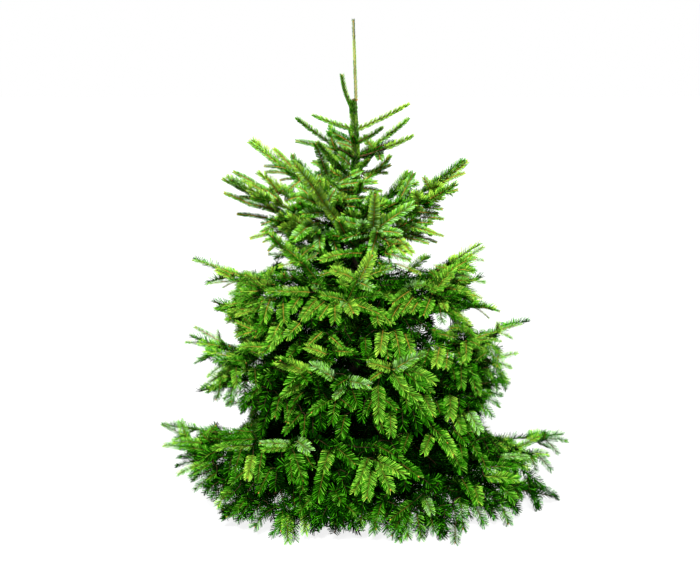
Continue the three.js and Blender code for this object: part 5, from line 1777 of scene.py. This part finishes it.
class FIR_OT_needles(bpy.types.Operator):
    """Make the needles, spray by spray, joined into pieces"""

    bl_idname = "fir.needles"
    bl_label = "Needles"

    def execute(self, context):
        sizes = context.scene.fir_sizes
        colours = context.scene.fir_colours
        materials = [needle_finish(f"needles_{name}", getattr(colours, name)[:], wax)
                     for name, wax in NEEDLE_WAX.items()]
        groups = {}
        for shoot in whole_tree():
            if shoot.part != "bare":
                groups.setdefault(self.piece_of(shoot), []).append(shoot)
        for number, (name, shoots) in enumerate(sorted(groups.items())):
            points, faces, slots = self.needles(shoots, sizes, np.random.default_rng(SEED + number))
            if len(faces) >= PIECE_LIMIT:
                raise RuntimeError(f"{name} has {len(faces)} triangles")
            piece = mesh_object(name, points, faces, materials, slots)
            along = piece.data.attributes.new(ALONG_NEEDLE, "FLOAT", "POINT")
            along.data.foreach_set("value", np.tile([0.0, 0.0, 1.0, 1.0], len(points) // 4))
            nodes = sorted({f"needles_{s.part}" for s in shoots} & set(frame["nodes"]))
            hand_over(piece, "needles", *nodes)
        return {"FINISHED"}

    def piece_of(self, shoot):
        """The name of the piece that holds the shoot's needles."""
        whorl = shoot.whorl["name"]
        if shoot.part == "inner":
            return f"needle_sprays_inner_{'abcd'[sum(shoot.root.z > z for z in INNER_SPLITS)]}"
        if shoot.part in ("stem", "clad", "leader", "rival"):
            return "needle_sprays_stem"
        if shoot.part == "crown" or "outer" in shoot.part:
            return f"needle_sprays_{shoot.part.removeprefix('link_')}"
        if shoot.part == "paired":
            return f"needle_sprays_paired_{'ab'[shoot.root.z > PAIRED_SPLIT]}"
        if shoot.part == "apron":
            return f"needle_sprays_apron_{'ab'[shoot.root.y > APRON_SPLIT]}"
        if whorl in ("fifth", "top"):
            return "needle_sprays_upper"
        if whorl == "fourth":
            return "needle_sprays_fourth"
        index = int(shoot.part.split("_")[1])
        parts = "ab" if whorl != "lowest" else "abc"
        return f"needle_sprays_{whorl}_{parts[(index - 1) * len(parts) // len(shoot.whorl['boughs'])]}"

    def breadth(self, shoot):
        """How much broader a shoot's needles are: with the sky behind them they have to cover it."""
        if shoot.part == "inner":
            return INNER_BREADTH
        if shoot.part in ("leader", "rival"):
            return 1.0
        if shoot.root.z > HIGH_FROM:
            return HIGH_BREADTH
        if shoot.shade is not None:
            return OUTER_BREADTH
        if depth_share(shoot.tip) > EDGE_FROM:
            return EDGE_BREADTH_UPPER if shoot.root.z > DIM_BELOW else EDGE_BREADTH_LOW
        return PLAIN_BREADTH

    def crowding(self, shoot):
        """How close a shoot's needles are: fewer where it is old and low."""
        thinned = OLD_CROWDING if shoot.age > 2 and shoot.root.z <= OLD_BELOW else 1.0
        return thinned * (CROWDING.get(shoot.part, 1.0) * shoot.whorl["dense"])

    def needles(self, shoots, sizes, rng):
        """The points, faces and colours of the shoots' needles, all worked out at once."""
        def each(value):
            return np.array([value(shoot) for shoot in shoots])

        shades = each(spray_class)
        hidden = (shades == DEEP) | (shades == SHADE)
        small = each(lambda s: s.whorl["needle"] * NEEDLE_SHARE.get(s.part, 1.0))
        broad = each(self.breadth)
        broad = np.where(hidden, np.maximum(broad, HIDDEN_BREADTH), broad)
        crowding = each(self.crowding) * np.where(hidden, HIDDEN_CROWDING, 1.0)
        counts = (each(lambda s: s.length) * sizes.needles_per_metre * crowding).astype(int)
        counts = np.maximum(counts, FEWEST_NEEDLES)
        of = np.repeat(np.arange(len(shoots)), counts)
        step = np.arange(len(of)) - np.repeat(np.cumsum(counts) - counts, counts)
        n = len(of)
        t = ((step + 0.5 + PLACE_SPREAD * (rng.random(n) - 0.5)) / counts[of])[:, None]
        places = ("root", "bend", "tip", "up")
        root, bend, tip, up = (each(lambda s: tuple(getattr(s, name)))[of] for name in places)
        thick = each(lambda s: (s.thick, s.thin))[of]
        upright = each(lambda s: s.part in UPRIGHT)[of]
        brush = each(lambda s: s.whorl["brush"])[of]
        crown = each(lambda s: s.part == "crown")[of]
        at = root * (1 - t) ** 2 + bend * (2 * t * (1 - t)) + tip * t**2
        along = unit((bend - root) * (1 - t) + (tip - bend) * t)
        up = square_to(up, along)
        across = np.cross(along, up)
        low = np.where(crown, CROWN_PART, PART_ON_TOP * (1 - brush * BRUSH_CLOSES_PART))
        low = np.where(upright, 0, low)
        high = np.where(upright, 180, mix(LOWEST_SIDE, BRUSH_SIDE, brush))
        under = (step // 2) % 2 == 1
        spread = (step * GOLDEN_SHARE + ROUND_SPREAD * rng.random(n)) % 1.0
        spread = np.where(under, mix(*UNDER_LAYER, spread), mix(*UPPER_LAYER, spread))
        turn = np.radians(mix(low, high, spread)) * np.where(step % 2 == 0, -1.0, 1.0)
        lean = np.where(upright, STEM_NEEDLE_ANGLE, mix(NEEDLE_ANGLE, NEEDLE_ANGLE_AT_TIP, t[:, 0] ** 3))
        lean = np.radians(lean + NEEDLE_ANGLE_SPREAD * (rng.random(n) - 0.5))[:, None]
        radial = up * np.cos(turn)[:, None] + across * np.sin(turn)[:, None]
        out = unit(along * np.cos(lean) + radial * np.sin(lean))
        long = (small[of] * sizes.needle_length * (SHORTEST_SHARE + LENGTH_SPREAD * rng.random(n)))[:, None]
        late = (t > SHORTER_FROM) & ~upright[:, None]
        long *= np.where(late, 1 - SHORTER_BY * (t - SHORTER_FROM), 1.0)
        wide = (sizes.needle_width * broad * np.sqrt(small / USUAL_NEEDLE))[of][:, None]
        wide *= np.where(under, UNDER_BREADTH, 1.0)[:, None]
        roll = np.where(brush > BRUSHY, BRUSHY_ROLL_SPREAD, ROLL_SPREAD)[:, None]
        over = square_to(unit(up + roll * (rng.random((n, 3)) - 0.5)), out)
        wing = np.cross(out, over)
        start = at + radial * (thick[:, :1] * (1 - t) + thick[:, 1:] * t) * START_OUT
        end = start + out * long + up * (long * NEEDLE_CURL * (rng.random((n, 1)) + LEAST_CURL))
        foot, blunt = wing * (wide * FOOT_SHARE / 2), wing * (wide * TIP_SHARE / 2)
        points = np.stack([start - foot, start + foot, end + blunt, end - blunt], axis=1).reshape(-1, 3)
        points[:, 2] = np.maximum(points[:, 2], NEEDLE_FLOOR)
        base = np.arange(n)[:, None] * 4
        faces = np.stack([base + [[0, 1, 2]], base + [[0, 2, 3]]], axis=1).reshape(-1, 3)
        classes = self.classes(shades[of], under, crown, root[:, 2] > HIGH_FROM, rng.random(n))
        return points, faces, np.repeat(classes, 2)

    def classes(self, shades, under, crown, high, luck):
        """Each needle's colour: its spray's, or a step from it by its layer and by chance. The lower layer's
        darker step is painted shade, the upper layer's lighter step painted light, and the crown's silver a
        painted highlight.
        """
        darker = np.where(luck < np.where(high, PAINTED_SHADE_UNDER[1], PAINTED_SHADE_UNDER[0]), 1, 0)
        lighter = np.where(luck > np.where(high, PAINTED_LIGHT_FROM[1], PAINTED_LIGHT_FROM[0]), -1, 0)
        shift = np.where(under, darker, np.where(luck < DARKER_UPPER, 1, lighter))
        silver = np.where(under | (luck > BRIGHT_FROM), BRIGHT, SILVER)
        classes = np.where(shades < SILVER, np.clip(shades + shift, NEW, SHADE), silver)
        return np.where(crown & ~under & (luck > CROWN_PAINTED_HIGHLIGHT_FROM) & (shades < DEEP), SILVER, classes)


class FIR_OT_buds(bpy.types.Operator):
    """Set a cluster of buds at the tip of each young shoot and of the leader"""

    bl_idname = "fir.buds"
    bl_label = "Buds"

    def execute(self, context):
        size = context.scene.fir_sizes.bud_length
        shoots = [s for s in whole_tree() if s.age == 1 and self.shows_bud(s)]
        places = []
        for shoot in shoots:
            along = (shoot.tip - shoot.bend).normalized()
            across = along.cross(shoot.up).normalized()
            scale = size * varied(1, BUD_SPREAD, shoot.key, 31, 1)
            scale *= mix(1, BUD_AT_TOP, shoot.tip.z / LEADER_FOOT)
            places.append((shoot.tip, along, scale))
            for side in (-1, 1) if shoot.root.z > SIDE_BUDS_FROM else ():
                places.append((shoot.tip - along * scale * SIDE_BUD_BACK,
                               (along + across * side * SIDE_BUD_LEAN).normalized(), scale * SIDE_BUD_SIZE))
        rival = rival_path()
        places += self.around(trunk_axis(TREE_TOP - TOP_BUDS_DOWN) - UP * TOP_BUDS_SUNK, UP, *TOP_BUDS)
        places += self.around(trunk_axis(LEADER_FOOT), UP * FOOT_BUDS_RISE, *FOOT_BUDS)
        places += self.around(rival.at(RIVAL_BUDS_PLACE), rival.along(1), *RIVAL_BUDS)
        live = len(places)
        places += self.around(trunk_axis(OLD_BUDS_HEIGHT) + OLD_BUDS_ASIDE, UP, *OLD_BUDS)
        points, faces = self.buds(places)
        slots = np.repeat(np.arange(len(places)) >= live, len(faces) // len(places))
        colours = context.scene.fir_colours
        materials = [twig_finish("bud_scales", colours.bud[:], 500.0),
                     twig_finish("dead_buds", colours.old_twig[:], 400.0)]
        buds = mesh_object("buds", points, faces, materials, slots)
        shade_smooth(buds)
        hand_over(buds, "twig_bark")
        return {"FINISHED"}

    def shows_bud(self, shoot):
        if shoot.part in ("clad", "leader", "inner", "bare") or spray_class(shoot) in DARK:
            return False
        return shoot.tip.z > BUDS_FROM or chance(shoot.key, 31, 2) < LOW_BUDS

    def around(self, centre, along, count, turn, first, spread, aside, long):
        """Buds in a ring: the place, the direction and the length of each."""
        outs = [outward(turn * k + first) for k in range(count)]
        return [(centre + out * aside, (along + out * spread).normalized(), long) for out in outs]

    def buds(self, places):
        points = []
        faces = []
        for root, along, long in places:
            across = along.cross(Vector((0.31, 0.17, 0.93))).normalized()
            over = across.cross(along)
            base = len(points)
            for share, wide in BUD_RINGS:
                points += ring_of(root + along * (long * share), over, across, long * wide, BUD_SIDES)
            points.append(root + along * long)
            for k in range(BUD_SIDES):
                a, b = base + k, base + (k + 1) % BUD_SIDES
                faces.append((a, b, b + BUD_SIDES))
                faces.append((a, b + BUD_SIDES, a + BUD_SIDES))
                faces.append((a + BUD_SIDES, b + BUD_SIDES, base + 2 * BUD_SIDES))
        points = np.array([tuple(point) for point in points])
        points[:, 2] = np.maximum(points[:, 2], NEEDLE_FLOOR)
        return points, np.array(faces)


class FIR_OT_stand(bpy.types.Operator):
    """Finish the cross stand: rounded edges, planed grain and screws"""

    bl_idname = "fir.stand"
    bl_label = "Stand"

    def execute(self, context):
        wood = planed_finish("planed_wood", context.scene.fir_colours.planed[:])
        for node in sorted(n for n in frame["nodes"] if n.startswith("stand_")):
            piece = frame["nodes"][node].copy()
            piece.data = frame["nodes"][node].data.copy()
            piece.name = node.replace("stand_", "wooden_")
            piece.parent = None
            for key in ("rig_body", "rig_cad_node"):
                del piece[key]
            context.scene.collection.objects.link(piece)
            pick_only(piece)
            bpy.ops.object.mode_set(mode="EDIT")
            bpy.ops.mesh.select_all(action="SELECT")
            bpy.ops.mesh.remove_doubles(threshold=WELD_WITHIN)
            bpy.ops.mesh.dissolve_limited(angle_limit=math.radians(FLAT_WITHIN))
            bpy.ops.object.mode_set(mode="OBJECT")
            bevel = piece.modifiers.new("rounded edges", "BEVEL")
            bevel.width = EDGE_ROUNDING
            bevel.segments = 2
            bevel.limit_method = "ANGLE"
            bpy.ops.object.modifier_apply(modifier=bevel.name)
            piece.data.materials.clear()
            piece.data.materials.append(wood)
            hand_over(piece, "planed_wood", node)
        steel = steel_finish("screw_steel")
        for index, azimuth in enumerate((0, 90, 180, 270)):
            self.screw(context, f"screw_{index + 1}", outward(azimuth) * SCREW_OUT + UP * SCREW_UP, steel)
        return {"FINISHED"}

    def screw(self, context, name, place, steel):
        """A flat countersunk head with a round recess."""
        pick_only()
        bpy.ops.mesh.primitive_cylinder_add(vertices=20, radius=SCREW_HEAD_RADIUS, depth=SCREW_HEAD_HEIGHT,
                                            location=place)
        head = context.object
        head.name = name
        bpy.ops.object.mode_set(mode="EDIT")
        bpy.ops.mesh.select_all(action="DESELECT")
        bpy.ops.object.mode_set(mode="OBJECT")
        for face in head.data.polygons:
            face.select = face.normal.z > 0.9
        bpy.ops.object.mode_set(mode="EDIT")
        bpy.ops.mesh.inset(thickness=SCREW_HEAD_RADIUS * SCREW_RIM, depth=0)
        bpy.ops.mesh.inset(thickness=SCREW_HEAD_RADIUS * SCREW_SOCKET,
                           depth=-SCREW_HEAD_HEIGHT * SCREW_SOCKET_DEPTH)
        bpy.ops.object.mode_set(mode="OBJECT")
        bpy.ops.object.transform_apply(location=True, rotation=True, scale=True)
        head.data.materials.append(steel)
        hand_over(head, "planed_wood")


class FIR_OT_stage(bpy.types.Operator):
    """Set the pale floor, the soft lights and the camera"""

    bl_idname = "fir.stage"
    bl_label = "Stage"

    def execute(self, context):
        settings = context.scene.fir_stage
        pick_only()
        bpy.ops.mesh.primitive_plane_add(size=FLOOR_SIZE, location=(0, 0, 0))
        floor = context.object
        floor.name = "studio_floor"
        floor.data.materials.append(glowing_finish("studio_white", FLOOR_SHADE, settings.floor_glow))
        world = bpy.data.worlds.new("white surround")
        world.use_nodes = True
        background = world.node_tree.nodes["Background"]
        background.inputs["Color"].default_value = (1, 1, 1, 1)
        background.inputs["Strength"].default_value = settings.world_strength
        context.scene.world = world
        aim = outward(settings.key_azimuth) * math.cos(math.radians(settings.key_height))
        aim.z = math.sin(math.radians(settings.key_height))
        bpy.ops.object.light_add(type="SUN", location=aim * KEY_DISTANCE)
        key = context.object
        key.name = "key"
        key.data.energy = settings.key_strength
        key.data.angle = math.radians(settings.key_softness)
        key.rotation_euler = aim.to_track_quat("Z", "Y").to_euler()
        bpy.ops.object.camera_add(location=PICTURE_FROM, rotation=(math.radians(90 - PICTURE_TILT), 0, 0))
        camera = context.object
        camera.data.sensor_width = SENSOR
        camera.data.lens = LENS
        context.scene.camera = camera
        context.scene.view_settings.view_transform = "Standard"
        return {"FINISHED"}


OPERATORS = (
    FIR_OT_stand, FIR_OT_trunk, FIR_OT_boughs, FIR_OT_twigs, FIR_OT_buds, FIR_OT_needles, FIR_OT_stage,
)


class FIR_PT_panel(bpy.types.Panel):
    """Every step in the tree's making"""

    bl_label = "Cut fir"
    bl_idname = "FIR_PT_panel"
    bl_space_type = "VIEW_3D"
    bl_region_type = "UI"
    bl_category = "Fir"

    def draw(self, context):
        for operator in OPERATORS:
            self.layout.operator(operator.bl_idname)
        for group in (context.scene.fir_sizes, context.scene.fir_colours, context.scene.fir_stage):
            for name in group.__annotations__:
                self.layout.prop(group, name)


CLASSES = (FirSizes, FirColours, StageSettings, *OPERATORS, FIR_PT_panel)


def register():
    for cls in CLASSES:
        bpy.utils.register_class(cls)
    bpy.types.Scene.fir_sizes = bpy.props.PointerProperty(type=FirSizes)
    bpy.types.Scene.fir_colours = bpy.props.PointerProperty(type=FirColours)
    bpy.types.Scene.fir_stage = bpy.props.PointerProperty(type=StageSettings)


def unregister():
    del bpy.types.Scene.fir_sizes
    del bpy.types.Scene.fir_colours
    del bpy.types.Scene.fir_stage
    for cls in reversed(CLASSES):
        bpy.utils.unregister_class(cls)


def main():
    register()
    bpy.ops.fir.stand()
    bpy.ops.fir.trunk()
    bpy.ops.fir.boughs()
    bpy.ops.fir.twigs()
    bpy.ops.fir.buds()
    bpy.ops.fir.needles()
    bpy.ops.fir.stage()


if __name__ == "__main__":
    main()
